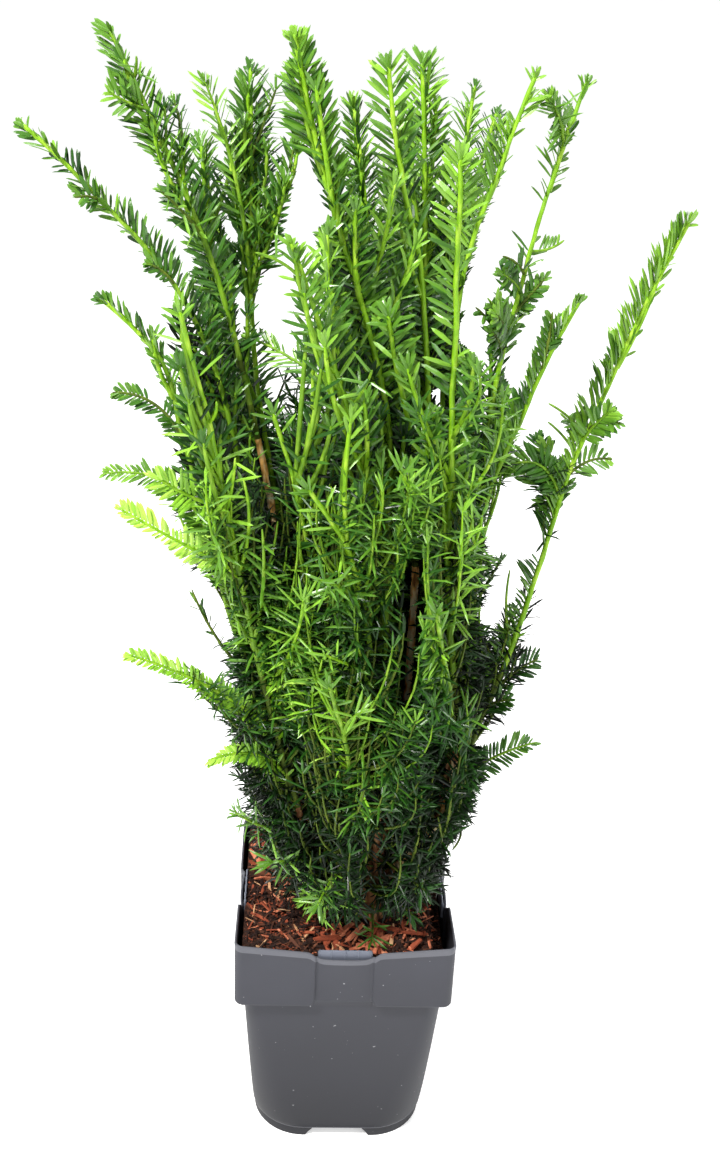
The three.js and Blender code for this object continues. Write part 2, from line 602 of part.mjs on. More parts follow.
// Boughs: tapering limbs from the fork, each ending where it enters a mass. The
// centre stem stays whole up to its plume, and the lobes stand clear round it.
const stemGrown = (() => {
  const rings = [];
  for (let k = 0; k <= 4; k++) {
    const p = foot.clone().lerp(fork, k / 4);
    const ring = [];
    for (let j = 0; j < 12; j++) {
      const a = (2 * Math.PI * j) / 12;
      ring.push(V(p.x + 11.2 * Math.cos(a), p.y + 11.2 * Math.sin(a), p.z + (k === 4 ? 0.4 : 0)));
    }
    rings.push(ring);
  }
  return loft(rings);
})();
taken.push({ name: 'main_stem', grown: stemGrown, box: boxOf(stemGrown) });

const BOUGHS = [
  ['centre', 'centre_stem', 0, 790, 'bark'],
  ['l5', 'bough_right', 0, 420, 'bark'],
  ['a', 'bough_left', 0, 420, 'bark'],
  ['l1', 'bough_front_left', 0, 360, 'bark'],
  ['i', 'bough_front', 0, 420, 'bark'],
  ['l2', 'bough_centre_left', 0.02, 425, 'bark'],
  ['h7', 'bough_back', 0.1, 420, 'bark'],
  ['h3', 'bough_back_right', 0.08, 425, 'bark'],
];
BOUGHS.forEach(([n, name, t0, z, colour], k) => {
  const limb = limbs[n];
  const t1 = limb.atHeight(z);
  const r = (s) => limb.o.r * (1 - 0.5 * lerp(t0, t1, s));
  take(name, (g) => tube(limb, t0, t1, r, { sides: 7, steps: n === 'centre' ? 9 : 5, seed: 120 + k, uneven: 0.04, grow: g }), colour);
});

// bare stretches between one mass and the next
[['l8', 'bough_far_right', 500, 670, 2.9], ['d', 'bough_back_left_upper', 745, 900, 2.8]].forEach(([n, name, z0, z1, r], k) => {
  const limb = limbs[n];
  take(name, (g) => tube(limb, limb.atHeight(z0), limb.atHeight(z1), (s) => r * (1 - 0.12 * s),
    { sides: 7, steps: 4, seed: 140 + k, uneven: 0.03, grow: g }), 'twig');
});

export default yew;
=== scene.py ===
"""Looks of a potted English yew: bark, twigs, needles, bark mulch and nursery pot."""

import math

import bpy
import numpy as np
from mathutils import Matrix, Vector
from mathutils.bvhtree import BVHTree


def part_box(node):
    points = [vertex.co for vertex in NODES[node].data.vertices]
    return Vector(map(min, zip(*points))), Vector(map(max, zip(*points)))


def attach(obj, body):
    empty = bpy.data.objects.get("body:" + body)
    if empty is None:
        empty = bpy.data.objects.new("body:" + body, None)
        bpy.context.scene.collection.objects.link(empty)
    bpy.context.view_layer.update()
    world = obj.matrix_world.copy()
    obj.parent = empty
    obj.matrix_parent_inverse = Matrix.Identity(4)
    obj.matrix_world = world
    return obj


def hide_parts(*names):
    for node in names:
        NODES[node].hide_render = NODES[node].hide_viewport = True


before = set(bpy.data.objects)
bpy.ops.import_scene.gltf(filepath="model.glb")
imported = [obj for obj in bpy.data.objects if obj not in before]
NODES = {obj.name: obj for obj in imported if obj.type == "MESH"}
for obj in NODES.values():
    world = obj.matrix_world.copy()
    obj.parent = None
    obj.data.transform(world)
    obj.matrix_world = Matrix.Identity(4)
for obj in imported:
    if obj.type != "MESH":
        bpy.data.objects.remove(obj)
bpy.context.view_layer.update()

MM = 0.001
DATUM = 4.0                    # tables below are in mm above a level this much over the ground
rng = np.random.default_rng(7556)

# the view the plant is seen in: mm, on the datum level
VP, VAZ, VROLL = math.radians(25.02), math.radians(2.66), math.radians(2.56)
V_F = np.array([math.sin(VAZ) * math.cos(VP), math.cos(VAZ) * math.cos(VP), -math.sin(VP)])
_r = np.array([math.cos(VAZ), -math.sin(VAZ), 0.0])
_u = np.cross(_r, V_F)
V_R = math.cos(VROLL) * _r + math.sin(VROLL) * _u
V_U = -math.sin(VROLL) * _r + math.cos(VROLL) * _u
V_C = np.array([-51.0, -1149.0, 1131.0])


def seen(p):
    """place in the 720 x 1150 view, and depth"""
    d = np.asarray(p, float) - V_C
    w = d @ V_F
    return np.stack([360 + 1400 * (d @ V_R) / w, 575 - 1400 * (d @ V_U) / w], -1), w


# --------------------------------------------------------------------- limbs
# (host, fraction along host, tip, bow, sway, wave, foot radius); mm
FOOT = np.array([25.0, -34.0, 240.0])
FORK = np.array([29.0, -27.0, 285.0])
Z3 = (0, 0, 0)
LEADERS = {
    "centre": ("stem", 1, (39, 60, 1029), (20, -10, 0), (1, 0, -1), Z3, 5.6),
    "l2": ("stem", .78, (-63, -70, 1055), (37, 6, 3), (-5, 0, -2), (-8, 0, -2), 4.6),
    "l1": ("stem", .49, (-141, -165, 874), (-34, 16, -18), (-14, -1, -10), (-5, 0, -5), 4.2),
    "a": ("stem", .89, (-216, 40, 1045), (12, -9, -7), (-16, 0, -11), Z3, 4.8),
    "l5": ("stem", .67, (51, -130, 984), (46, 13, -12), (22, -1, -7), (11, 0, -3), 5.0),
    "l3": ("centre", .46, (6, -25, 1038), (15, 2, 2), (2, 0, 0), Z3, 3.2),
    "e": ("l2", .09, (-67, -150, 922), (35, 15, 1), (-1, 0, -4), (-4, 0, -2), 3.2),
    "i": ("stem", .62, (-45, -150, 738), (27, 13, 8), (-3, 0, -2), Z3, 3.6),
    "s2": ("stem", .4, (-29, -160, 569), (-5, 9, -1), (-12, 0, -4), Z3, 3.2),
    "b": ("a", .12, (-282, 0, 978), (36, -3, 24), (-24, 0, -13), Z3, 3.4),
    "c": ("l1", .15, (-221, -60, 854), (16, 2, 15), (-13, 0, -9), (9, 0, 7), 3.0),
    "d": ("a", .07, (-105, 100, 1015), (-26, -13, -2), (4, -1, 0), Z3, 3.6),
    "l6": ("l5", .18, (131, 40, 1027), (-28, -9, 5), (15, 0, -2), Z3, 3.2),
    "l7": ("l5", .13, (179, 80, 1017), (-16, -12, 4), (10, -1, -2), Z3, 3.4),
    "l8": ("l5", .12, (269, 30, 916), (-9, -7, 4), (5, 0, -2), Z3, 3.4),
    "l9": ("l8", .1, (172, -20, 857), (-18, -1, 5), (6, 0, -2), Z3, 3.0),
    "h1": ("centre", .1, (40, 190, 975), (11, -17, 5), (3, -2, 0), Z3, 3.4),
    "h2": ("l2", .14, (-16, 140, 993), (14, -15, 5), (-1, -2, 0), Z3, 3.4),
    "h3": ("centre", .06, (93, 170, 1001), (13, -17, 4), (10, -2, -1), Z3, 3.6),
    "h4": ("h3", .13, (124, 210, 975), (-1, -16, 8), (9, -3, -2), Z3, 3.2),
    "h5": ("d", .08, (-151, 150, 959), (-15, -15, 1), (4, -2, 1), Z3, 3.2),
    "h6": ("d", .18, (-142, 200, 893), (-10, -16, 3), (0, -2, 1), Z3, 3.0),
    "h7": ("centre", .03, (21, 250, 908), (5, -19, 8), (-2, -4, 1), Z3, 3.4),
    "h8": ("a", .06, (-141, 180, 797), (-10, -15, 3), (2, -2, 1), Z3, 3.0),
    "h9": ("h3", .07, (144, 170, 732), (-1, -12, 6), (-1, -2, 1), Z3, 3.0),
    "h10": ("h7", .08, (-56, 230, 667), (-2, -11, 7), (4, -3, 3), Z3, 3.0),
    "h11": ("h7", .1, (90, 240, 674), (6, -11, 7), (-3, -3, 2), Z3, 3.0),
    "f1": ("i", .13, (-81, -115, 794), (-7, 8, -1), (3, 0, 1), Z3, 2.8),
    "f2": ("centre", .48, (8, -100, 872), (6, -6, -4), (3, 0, -1), Z3, 2.8),
    "f3": ("l5", .24, (54, -175, 652), (2, 8, 5), (1, 1, 1), Z3, 2.6),
}
# how far each limb wanders to the right of that curve, in mm, at nine even steps from its foot to its tip
WANDER = {
    "centre": (0, 1, 3, 0, -3, -2, -2, -2, -2), "l2": (0, 0, -1, -6, -5, 4, 3, -3, -3), "l1": (-1, -5, 7, 6, -2, -4, 1, 5, -1),
    "a": (0, 1, 2, 3, 4, 1, 2, 1, 3), "l5": (1, 8, -1, -4, 1, 5, -1, -4, 3), "l3": (0, 1, 1, 2, 2, 3, -3, -5, -1),
    "e": (0, 0, 1, 1, 2, 2, 4, 4, 3), "i": (0, 0, 0, -1, -1, -1, 3, 4, -4), "s2": (0, 0, 1, 1, 1, 0, -3, -3, 3),
    "b": (0, 1, 1, 2, 2, 3, 2, -4, 2), "c": (0, 1, 2, 3, 2, -7, -11, 5, 9), "d": (0, -1, -1, -2, -3, -4, -1, 4, 1),
    "l6": (0, -1, -2, -4, -5, -7, -7, -1, -2), "l7": (0, -3, -6, -9, -11, -7, -1, -1, -1), "l8": (0, 0, 1, 3, 0, -3, 0, -2, -2),
    "l9": (-1, -8, -16, -20, -20, -14, -4, -3, 0), "h3": (0, 0, -1, -1, -2, -2, -3, -3, 1), "h4": (0, -2, -4, -6, -8, -10, -10, -8, -4),
    "f1": (0, 2, 4, 7, 9, 11, 13, 11, 2),
}
# how far short of the curve's end each stem stops; the needles of its tip reach on
SHORT = {"a": 0, "l2": 0, "centre": 0, "l3": 6, "l5": 3, "e": 0, "i": 4, "s2": 2, "b": 3, "c": 0, "d": 0, "l6": 4, "l7": 0, "l8": 1,
         "l9": 0, "h3": 0, "h4": 0, "l1": 0, "f1": 12}
# larger side shoots: (host, fraction, tip, bow, tone); tone 0 dark .. 5 lime
SHOOTS = [
    ("l1", .37, (-191, -130, 577), (3, 2, 7), 5), ("l1", .27, (-128, -110, 464), (9, 4, 17), 5),
    ("c", .57, (-217, -50, 705), (13, 0, 22), 3), ("l1", .73, (-162, -150, 741), (-1, 0, -2), 5),
    ("l1", .63, (-196, -120, 703), (0, 0, -1), 5), ("c", .73, (-206, -60, 779), (5, 0, 11), 2),
    ("c", .32, (-148, -20, 585), (-5, 0, -4), 2), ("l1", .18, (-107, -70, 383), (-3, -1, -7), 3),
    ("l1", .11, (-73, -90, 342), (-1, 0, -1), 3), ("s2", .12, (-30, -95, 297), (1, -1, -2), 5),
    ("l5", .2, (168, -60, 458), (-4, 0, 6), 2), ("l8", .25, (169, -20, 523), (-2, 0, 3), 1),
    ("l8", .21, (142, -45, 493), (-4, 1, 4), 1), ("l9", .27, (124, -40, 631), (-6, 0, 1), 2),
    ("l8", .55, (155, 20, 723), Z3, 1), ("l8", .57, (126, -10, 707), (5, 0, 16), 2),
    ("l8", .61, (219, 0, 712), (-1, 0, 6), 2), ("l8", .67, (175, 30, 743), Z3, 3),
    ("l8", .68, (217, -20, 752), (0, 0, 5), 2), ("l5", .15, (99, -60, 337), (12, 0, 4), 1),
    ("l7", .79, (168, 60, 889), (1, 0, -3), 2), ("l7", .76, (111, 20, 882), (2, 0, 2), 2),
    ("l7", .71, (152, 40, 861), Z3, 2), ("l7", .66, (89, 0, 843), (3, 0, 3), 2),
    ("l7", .92, (144, 40, 1003), (2, 0, 1), 3), ("l9", .86, (150, -20, 846), (1, 0, 0), 2),
    ("a", .92, (-213, 20, 1001), (-1, 0, -1), 3), ("a", .88, (-170, 30, 990), (1, 0, 0), 2),
    ("a", .84, (-165, 60, 992), (4, 0, 0), 2), ("a", .79, (-170, -10, 931), (1, 0, 1), 2),
    ("a", .95, (-190, 20, 1028), (1, 0, 0), 3), ("b", .87, (-236, -20, 925), (1, 0, 3), 2),
    ("b", .75, (-181, -20, 875), (2, 0, 2), 2), ("d", .74, (-140, 60, 1008), (7, 0, 6), 3),
    ("d", .79, (-66, 60, 958), (6, 0, 0), 2), ("d", .9, (-82, 90, 1001), Z3, 2),
    ("l2", .57, (-101, 20, 806), (6, 0, 12), 3),
    ("e", .91, (-88, -165, 918), (7, 1, 6), 4),
    ("e", .76, (-2, -140, 828), (2, 0, -1), 4), ("l5", .6, (103, -100, 797), (13, 0, -6), 4),
    ("l5", .55, (22, -150, 753), (-1, 1, 0), 4), ("l5", .7, (80, -130, 824), (8, -1, -3), 4),
    ("l5", .51, (91, -130, 710), (6, 0, -2), 4), ("l5", .77, (79, -90, 830), (-2, 0, 2), 4),
    ("l5", .61, (36, -120, 790), (0, 1, 0), 4),
    ("l5", .66, (97, 0, 765), (4, 0, 0), 4), ("l5", .56, (115, 0, 736), (6, 0, 0), 4), ("l5", .6, (88, 10, 789), (3, 0, 0), 4),
    ("l5", .5, (124, 20, 726), (14, 0, -4), 4), ("l5", .46, (120, 10, 699), (8, 0, 0), 3), ("l5", .4, (109, -20, 660), (6, 0, -2), 3),
    ("l8", .33, (135, -20, 612), (-4, 0, 0), 3),
    ("l8", .26, (111, -20, 582), (-6, 0, 0), 3), ("l5", .5, (57, -100, 748), (0, 0, 0), 4), ("l5", .55, (128, 30, 717), (8, 0, -2), 3),
    ("l7", .67, (99, 5, 850), (3, 0, 2), 3), ("l7", .68, (106, 0, 838), (3, 0, 0), 2), ("l7", .66, (104, 0, 823), (2, 0, 0), 2),
    ("l7", .71, (148, 40, 847), (-1, 0, 0), 3), ("l7", .69, (139, 40, 831), (-1, 0, 0), 2), ("l7", .74, (112, 20, 867), (1, 0, 1), 3),
    ("l8", .67, (162, 20, 755), (2, 0, 2), 3), ("l8", .64, (163, 20, 738), (1, 0, 2), 3),
    ("l8", .66, (209, -20, 764), (-1, 0, 2), 3),
    ("l8", .56, (161, 10, 720), (2, 0, 5), 3), ("l8", .54, (141, 10, 696), (3, 0, 8), 3), ("l7", .93, (139, 40, 1009), (1, 0, 0), 3),
    ("l1", .73, (-103, -150, 759), (1, 0, 0), 5),
    ("l1", .63, (-97, -140, 738), (6, 1, 0), 4), ("l1", .52, (-82, -150, 701), (4, 1, 0), 4),
    ("l1", .86, (-116, -165, 808), (2, 0, -1), 5), ("l1", .78, (-141, -150, 784), (2, 0, 1), 5),
    ("l1", .44, (-49, -150, 641), (7, 0, -1), 5), ("l1", .36, (-32, -130, 576), (6, 0, -2), 5),
    ("i", .72, (-38, -165, 666), (2, 1, 3), 4), ("i", .56, (-30, -150, 592), (-1, 0, 0), 4),
    ("s2", .77, (1, -175, 554), (-3, 1, 2), 4), ("stem", .4, (25, -90, 253), (1, 0, 0), 1),
    ("stem", .4, (63, -80, 275), (2, 2, 5), 1), ("s2", .2, (-28, -110, 309), (-2, 1, 2), 2),
    ("i", .1, (70, -110, 328), (0, 0, -2), 1), ("h2", .5, (-42, 60, 753), (0, 0, -6), 2), ("h2", .54, (-46, 70, 785), (2, 0, -6), 2),
    ("h2", .5, (-30, 50, 738), (2, 0, -6), 2), ("h2", .56, (-36, 80, 800), (2, 0, -6), 2),
    ("h2", .5, (-58, 60, 757), (2, 0, -8), 2), ("h2", .48, (-56, 50, 735), (2, 0, -8), 2), ("h2", .46, (-48, 60, 716), (2, 0, -8), 1),
    ("h2", .44, (-64, 60, 742), (2, 0, -10), 2), ("h2", .5, (-54, 75, 770), (2, 0, -8), 2), ("h5", .55, (-70, 90, 748), (0, 0, -8), 1),
]


# flat two-ranked shoots by their tips: needle length, width, spacing in a rank
COMBS = {
    (-191, -130, 577): (14, 3.0, 3.4), (-128, -110, 464): (13, 3.2, 3.0), (-162, -150, 741): (21, 3.3, 4.6),
    (-196, -120, 703): (17, 3.4, 3.6), (-206, -60, 779): (18, 3.4, 3.4), (-217, -50, 705): (18, 3.4, 3.6),
    (142, -45, 493): (20, 3.2, 3.8), (169, -20, 523): (20, 3.2, 3.8), (168, -60, 458): (20, 3.2, 3.6),
    (-101, 20, 806): (21, 3.2, 4.2), (99, 5, 850): (19, 4.2, 3.6), (106, 0, 838): (19, 4.2, 3.6),
    (104, 0, 823): (18, 4.0, 3.6), (148, 40, 847): (20, 4.2, 3.6), (139, 40, 831): (18, 4.0, 3.6), (112, 20, 867): (17, 4.0, 3.6),
    (162, 20, 755): (19, 4.2, 3.8), (163, 20, 738): (18, 4.0, 3.8), (209, -20, 764): (18, 4.2, 3.8),
    (161, 10, 720): (19, 4.0, 3.8), (141, 10, 696): (19, 4.0, 3.8),
    (139, 40, 1009): (18, 4.0, 4.0), (219, 0, 712): (17, 4.0, 4.2), (168, 60, 889): (21, 4.0, 4.6),
    (152, 40, 861): (22, 4.4, 3.6), (89, 0, 843): (23, 4.6, 3.6), (111, 20, 882): (17, 4.0, 3.6), (155, 20, 723): (21, 4.2, 4.0),
    (126, -10, 707): (21, 4.2, 4.0), (175, 30, 743): (21, 4.2, 4.0), (217, -20, 752): (19, 4.2, 4.2), (150, -20, 846): (22, 4.2, 4.2),
    (-236, -20, 925): (18, 4.0, 4.2), (-181, -20, 875): (18, 4.0, 4.2), (-213, 20, 1001): (23, 4.2, 4.6),
}
GAP_MIN, GAP_LOW, GAP_TOP, GAP_DEEP = 13.8, 16.5, 18.5, 22.0    # mm between the ends of neighbouring sprays


def limb_points(root, tip, bow, sway, wave, n):
    t = np.linspace(0, 1, n + 1)[:, None]
    return (root + (np.array(tip, float) - root) * t + 4 * t * (1 - t) * np.array(bow, float)
            + np.sin(2 * np.pi * t) * np.array(sway, float) + np.sin(3 * np.pi * t) * np.array(wave, float))


def shoot_path(root, tip, bow, n=9):
    return limb_points(root, tip, bow, Z3, Z3, n)


class Limb:
    """A polyline in mm with a radius at every point and a fraction lookup."""

    def __init__(self, pts, r0, r1=1.75, power=0.75):
        self.p = pts
        seg = np.linalg.norm(np.diff(pts, axis=0), axis=1)
        self.s = np.concatenate([[0], np.cumsum(seg)])
        self.len = self.s[-1]
        f = self.s / self.len
        self.r = r0 + (r1 - r0) * f ** power

    def at(self, f):
        k = f * (len(self.p) - 1)
        i = min(int(k), len(self.p) - 2)
        return self.p[i] + (self.p[i + 1] - self.p[i]) * (k - i)

    def along(self, s):
        """points and tangents at arc lengths s"""
        s = np.asarray(s, float)
        pos = np.stack([np.interp(s, self.s, self.p[:, k]) for k in range(3)], 1)
        e = 4.0
        a = np.stack([np.interp(np.clip(s - e, 0, self.len), self.s, self.p[:, k]) for k in range(3)], 1)
        b = np.stack([np.interp(np.clip(s + e, 0, self.len), self.s, self.p[:, k]) for k in range(3)], 1)
        d = b - a
        return pos, d / np.linalg.norm(d, axis=1, keepdims=True)

    def radius(self, s):
        return np.interp(s, self.s, self.r)


limbs = {"stem": Limb(np.linspace(FOOT, FORK, 12), 8.6, 8.6)}
for name, (host, at, tip, bow, sway, wave, r) in LEADERS.items():
    root = FOOT + (FORK - FOOT) * at if host == "stem" else limbs[host].at(at)
    P = limb_points(root, tip, bow, sway, wave, 60)
    if name in WANDER:
        P = P + V_R * np.interp(np.linspace(0, 1, 61), np.linspace(0, 1, 9), WANDER[name])[:, None]
    seg_ = np.concatenate([[0], np.cumsum(np.linalg.norm(np.diff(P, axis=0), axis=1))])
    cut_at = seg_[-1] - SHORT.get(name, 14.0)
    keep = seg_ < cut_at
    last = np.array([np.interp(cut_at, seg_, P[:, k]) for k in range(3)])
    limbs[name] = Limb(np.concatenate([P[keep], last[None]]), r * 0.94)

# --------------------------------------------------------------- inside tests
# the foliage masses of the CAD, as one closed surface
MASSES = [n for n in NODES if n.startswith(("foliage_", "plume_", "shoot_"))]
_v, _f, _k = [], [], 0
for n in MASSES:
    m = NODES[n].data
    co = np.zeros(len(m.vertices) * 3)
    m.vertices.foreach_get("co", co)
    co = co.reshape(-1, 3)
    m.calc_loop_triangles()
    t = np.zeros(len(m.loop_triangles) * 3, np.int32)
    m.loop_triangles.foreach_get("vertices", t)
    _v.append(co)
    _f.append(t.reshape(-1, 3) + _k)
    _k += len(co)
BVH = BVHTree.FromPolygons(np.concatenate(_v).tolist(), np.concatenate(_f).tolist(), epsilon=0.0)
RAY = Vector((0.123, 0.071, 0.99)).normalized()


def inside(p):
    """is the point (mm, datum frame) inside one of the foliage masses"""
    o = Vector((p[0] * MM, p[1] * MM, (p[2] + DATUM) * MM))
    n = 0
    for _ in range(24):
        hit = BVH.ray_cast(o, RAY)
        if hit[0] is None:
            break
        n += 1
        o = hit[0] + RAY * 1e-5
    return n % 2 == 1


def clearance(p):
    """distance in mm to the nearest mass surface"""
    hit = BVH.find_nearest(Vector((p[0] * MM, p[1] * MM, (p[2] + DATUM) * MM)))
    return hit[3] / MM if hit[0] is not None else 1e9


AXIS_Z = np.array([240, 285, 385, 480, 580, 680, 772])
_c = limbs["centre"]
AXIS = np.array([[np.interp(z, _c.p[:, 2], _c.p[:, k]) for k in range(2)] for z in AXIS_Z])
AXIS[0] = FOOT[:2]
HEART_R = np.array([24, 30, 44, 14, 12, 11, 10])


def axis_at(z):
    return np.array([np.interp(z, AXIS_Z, AXIS[:, 0]), np.interp(z, AXIS_Z, AXIS[:, 1])])


def allowed(p, slack=7.0):
    """the crown's own room: inside a mass, just proud of it, or in the heart round the stem"""
    if inside(p) or clearance(p) < slack:
        return True
    if 262 < p[2] < 740:
        d = p[:2] - axis_at(p[2])
        return float(np.hypot(*d)) < np.interp(p[2], AXIS_Z, HEART_R) + 6
    return False


# ------------------------------------------------------------------ mesh tools


def new_mesh(name, verts, faces, mats=(), mat_index=None, smooth=False, scale=MM, lift=True):
    """one mesh object from arrays; faces may be an (n, k) array or a list of such arrays"""
    verts = np.asarray(verts, np.float64) * scale
    if lift:
        verts = verts + np.array([0, 0, DATUM * MM])
    groups = faces if isinstance(faces, list) else [faces]
    loops = np.concatenate([g.reshape(-1) for g in groups]).astype(np.int32)
    counts = np.concatenate([np.full(len(g), g.shape[1], np.int32) for g in groups])
    me = bpy.data.meshes.new(name)
    me.vertices.add(len(verts))
    me.vertices.foreach_set("co", verts.astype(np.float32).reshape(-1))
    me.loops.add(len(loops))
    me.loops.foreach_set("vertex_index", loops)
    me.polygons.add(len(counts))
    starts = np.concatenate([[0], np.cumsum(counts)[:-1]]).astype(np.int32)
    me.polygons.foreach_set("loop_start", starts)
    me.polygons.foreach_set("loop_total", counts)
    for m in mats:
        me.materials.append(m)
    if mat_index is not None:
        me.polygons.foreach_set("material_index", np.asarray(mat_index, np.int32))
    me.update(calc_edges=True)
    me.polygons.foreach_set("use_smooth", np.full(len(counts), smooth, bool))
    me.validate()
    ob = bpy.data.objects.new(name, me)
    bpy.context.scene.collection.objects.link(ob)
    return ob


def frames(t, ref=np.array([0.31, 0.17, 0.93])):
    """two unit vectors across each tangent"""
    u = np.cross(t, ref)
    bad = np.linalg.norm(u, axis=1) < 1e-3
    u[bad] = np.cross(t[bad], np.array([1.0, 0, 0]))
    u /= np.linalg.norm(u, axis=1, keepdims=True)
    return u, np.cross(t, u)


def unit(v):
    return v / np.maximum(np.linalg.norm(v, axis=-1, keepdims=True), 1e-9)


class Tubes:
    """gathers round limbs into one joined mesh"""

    def __init__(self):
        self.v, self.f, self.m, self.n = [], [], [], 0

    def add(self, pts, radii, sides, mat=0, relief=None, cap=True):
        pts = np.asarray(pts, float)
        t = np.gradient(pts, axis=0)
        t = unit(t)
        # rotation-minimising frames
        u = np.zeros_like(t)
        ref = np.array([1.0, 0, 0]) if abs(t[0, 0]) < 0.8 else np.array([0, 1.0, 0])
        u[0] = unit(ref - ref.dot(t[0]) * t[0])
        for k in range(1, len(t)):
            w = u[k - 1] - u[k - 1].dot(t[k]) * t[k]
            u[k] = unit(w)
        v = np.cross(t, u)
        a = np.arange(sides) * 2 * np.pi / sides
        r = np.asarray(radii, float)[:, None] * np.ones(sides)
        if relief is not None:
            r = relief(r, np.arange(len(pts)), a)
        ring = pts[:, None] + r[..., None] * (np.cos(a)[None, :, None] * u[:, None] + np.sin(a)[None, :, None] * v[:, None])
        n, k = len(pts), sides
        idx = np.arange(n * k).reshape(n, k) + self.n
        q = np.stack([idx[:-1], np.roll(idx[:-1], -1, 1), np.roll(idx[1:], -1, 1), idx[1:]], -1).reshape(-1, 4)
        self.v.append(ring.reshape(-1, 3))
        self.f.append(q)
        mm = np.repeat(np.asarray(mat)[:-1] if np.ndim(mat) else np.full(n - 1, mat), k)
        self.m.append(mm)
        self.n += n * k
        if cap:
            self.v.append(np.stack([pts[0] - t[0] * 0.2, pts[-1] + t[-1] * min(1.2, r[-1].mean())]))
            c0, c1 = self.n, self.n + 1
            e0 = np.stack([np.roll(idx[0], -1), idx[0], np.full(k, c0)], -1)
            e1 = np.stack([idx[-1], np.roll(idx[-1], -1), np.full(k, c1)], -1)
            self.f.append(np.concatenate([e0, e1]))
            self.m.append(np.full(2 * k, mm[-1]))
            self.n += 2

    def build(self, name, mats, smooth=True):
        quads = [f for f in self.f if f.shape[1] == 4]
        tris = [f for f in self.f if f.shape[1] == 3]
        mq = [m for f, m in zip(self.f, self.m) if f.shape[1] == 4]
        mt = [m for f, m in zip(self.f, self.m) if f.shape[1] == 3]
        groups = [np.concatenate(quads)] + ([np.concatenate(tris)] if tris else [])
        mi = np.concatenate(mq + mt)
        return new_mesh(name, np.concatenate(self.v), groups, mats, mi, smooth)


# ------------------------------------------------------------------- materials


def principled(name, base, rough=0.5, spec=0.5, coat=0.0, sheen=0.0, coat_rough=0.1):
    m = bpy.data.materials.new(name)
    m.use_nodes = True
    nt = m.node_tree
    b = nt.nodes["Principled BSDF"]
    b.inputs["Base Color"].default_value = (*base, 1)
    b.inputs["Roughness"].default_value = rough
    b.inputs["Specular IOR Level"].default_value = spec
    b.inputs["Coat Weight"].default_value = coat
    b.inputs["Coat Roughness"].default_value = coat_rough
    b.inputs["Sheen Weight"].default_value = sheen
    return m, nt, b


def node(nt, kind, **kw):
    n = nt.nodes.new(kind)
    for k, v in kw.items():
        if k.startswith("i_"):
            n.inputs[k[2:].replace("_", " ")].default_value = v
        else:
            setattr(n, k, v)
    return n


def srgb(r, g, b):
    f = lambda c: c / 12.92 if c <= 0.04045 else ((c + 0.055) / 1.055) ** 2.4
    return tuple(f(c / 255) for c in (r, g, b))


def ramp(nt, stops, interpolation="LINEAR"):
    n = nt.nodes.new("ShaderNodeValToRGB")
    n.color_ramp.interpolation = interpolation
    e = n.color_ramp.elements
    while len(e) < len(stops):
        e.new(0.5)
    for el, (p, c) in zip(e, stops):
        el.position = p
        el.color = (*c, 1)
    return n


def noise_colour(nt, b, scale, stops, detail=4.0, stretch=(1, 1, 1)):
    tc = node(nt, "ShaderNodeTexCoord")
    mp = node(nt, "ShaderNodeMapping")
    mp.inputs["Scale"].default_value = stretch
    no = node(nt, "ShaderNodeTexNoise")
    no.inputs["Scale"].default_value = scale
    no.inputs["Detail"].default_value = detail
    rp = ramp(nt, stops)
    nt.links.new(tc.outputs["Object"], mp.inputs["Vector"])
    nt.links.new(mp.outputs["Vector"], no.inputs["Vector"])
    nt.links.new(no.outputs["Fac"], rp.inputs["Fac"])
    nt.links.new(rp.outputs["Color"], b.inputs["Base Color"])
    return mp, no


def bump(nt, b, source, strength, distance):
    bp = node(nt, "ShaderNodeBump")
    bp.inputs["Strength"].default_value = strength
    bp.inputs["Distance"].default_value = distance
    nt.links.new(source, bp.inputs["Height"])
    nt.links.new(bp.outputs["Normal"], b.inputs["Normal"])


# needles: plain base colours, dealt out by spray. The darker tones are largely painted shade, dealt to sprays with much
# crown in front of them; the lighter ones run up to lime growth.
NEEDLE_TONES = [
    ("needle_night", srgb(7, 20, 4), 0.34),
    ("needle_deep", srgb(13, 35, 7), 0.32),
    ("needle_dark", srgb(22, 54, 12), 0.31),
    ("needle_shade", srgb(36, 77, 19), 0.30),
    ("needle_mid", srgb(57, 101, 27), 0.30),
    ("needle_fresh", srgb(84, 130, 34), 0.31),
    ("needle_bright", srgb(114, 162, 44), 0.33),
    ("needle_lime", srgb(134, 188, 50), 0.35),
    ("needle_pale", srgb(168, 212, 80), 0.38),
]


def needle_material(name, base, rough):
    # gloss rises with the green of the base colour, so the painted-shade tones also shine less
    m, nt, b = principled(name, base, rough, 0.28 + 0.9 * min(base[1], 0.25), coat=0.0)
    # fine blotches in the gloss, as on waxy needles
    tc = node(nt, "ShaderNodeTexCoord")
    no = node(nt, "ShaderNodeTexNoise")
    no.inputs["Scale"].default_value = 260.0
    no.inputs["Detail"].default_value = 2.0
    nt.links.new(tc.outputs["Object"], no.inputs["Vector"])
    mr = node(nt, "ShaderNodeMapRange")
    mr.inputs["To Min"].default_value = rough - 0.07
    mr.inputs["To Max"].default_value = rough + 0.10
    nt.links.new(no.outputs["Fac"], mr.inputs["Value"])
    nt.links.new(mr.outputs["Result"], b.inputs["Roughness"])
    return m


NEEDLE_MATS = [needle_material(*t) for t in NEEDLE_TONES]


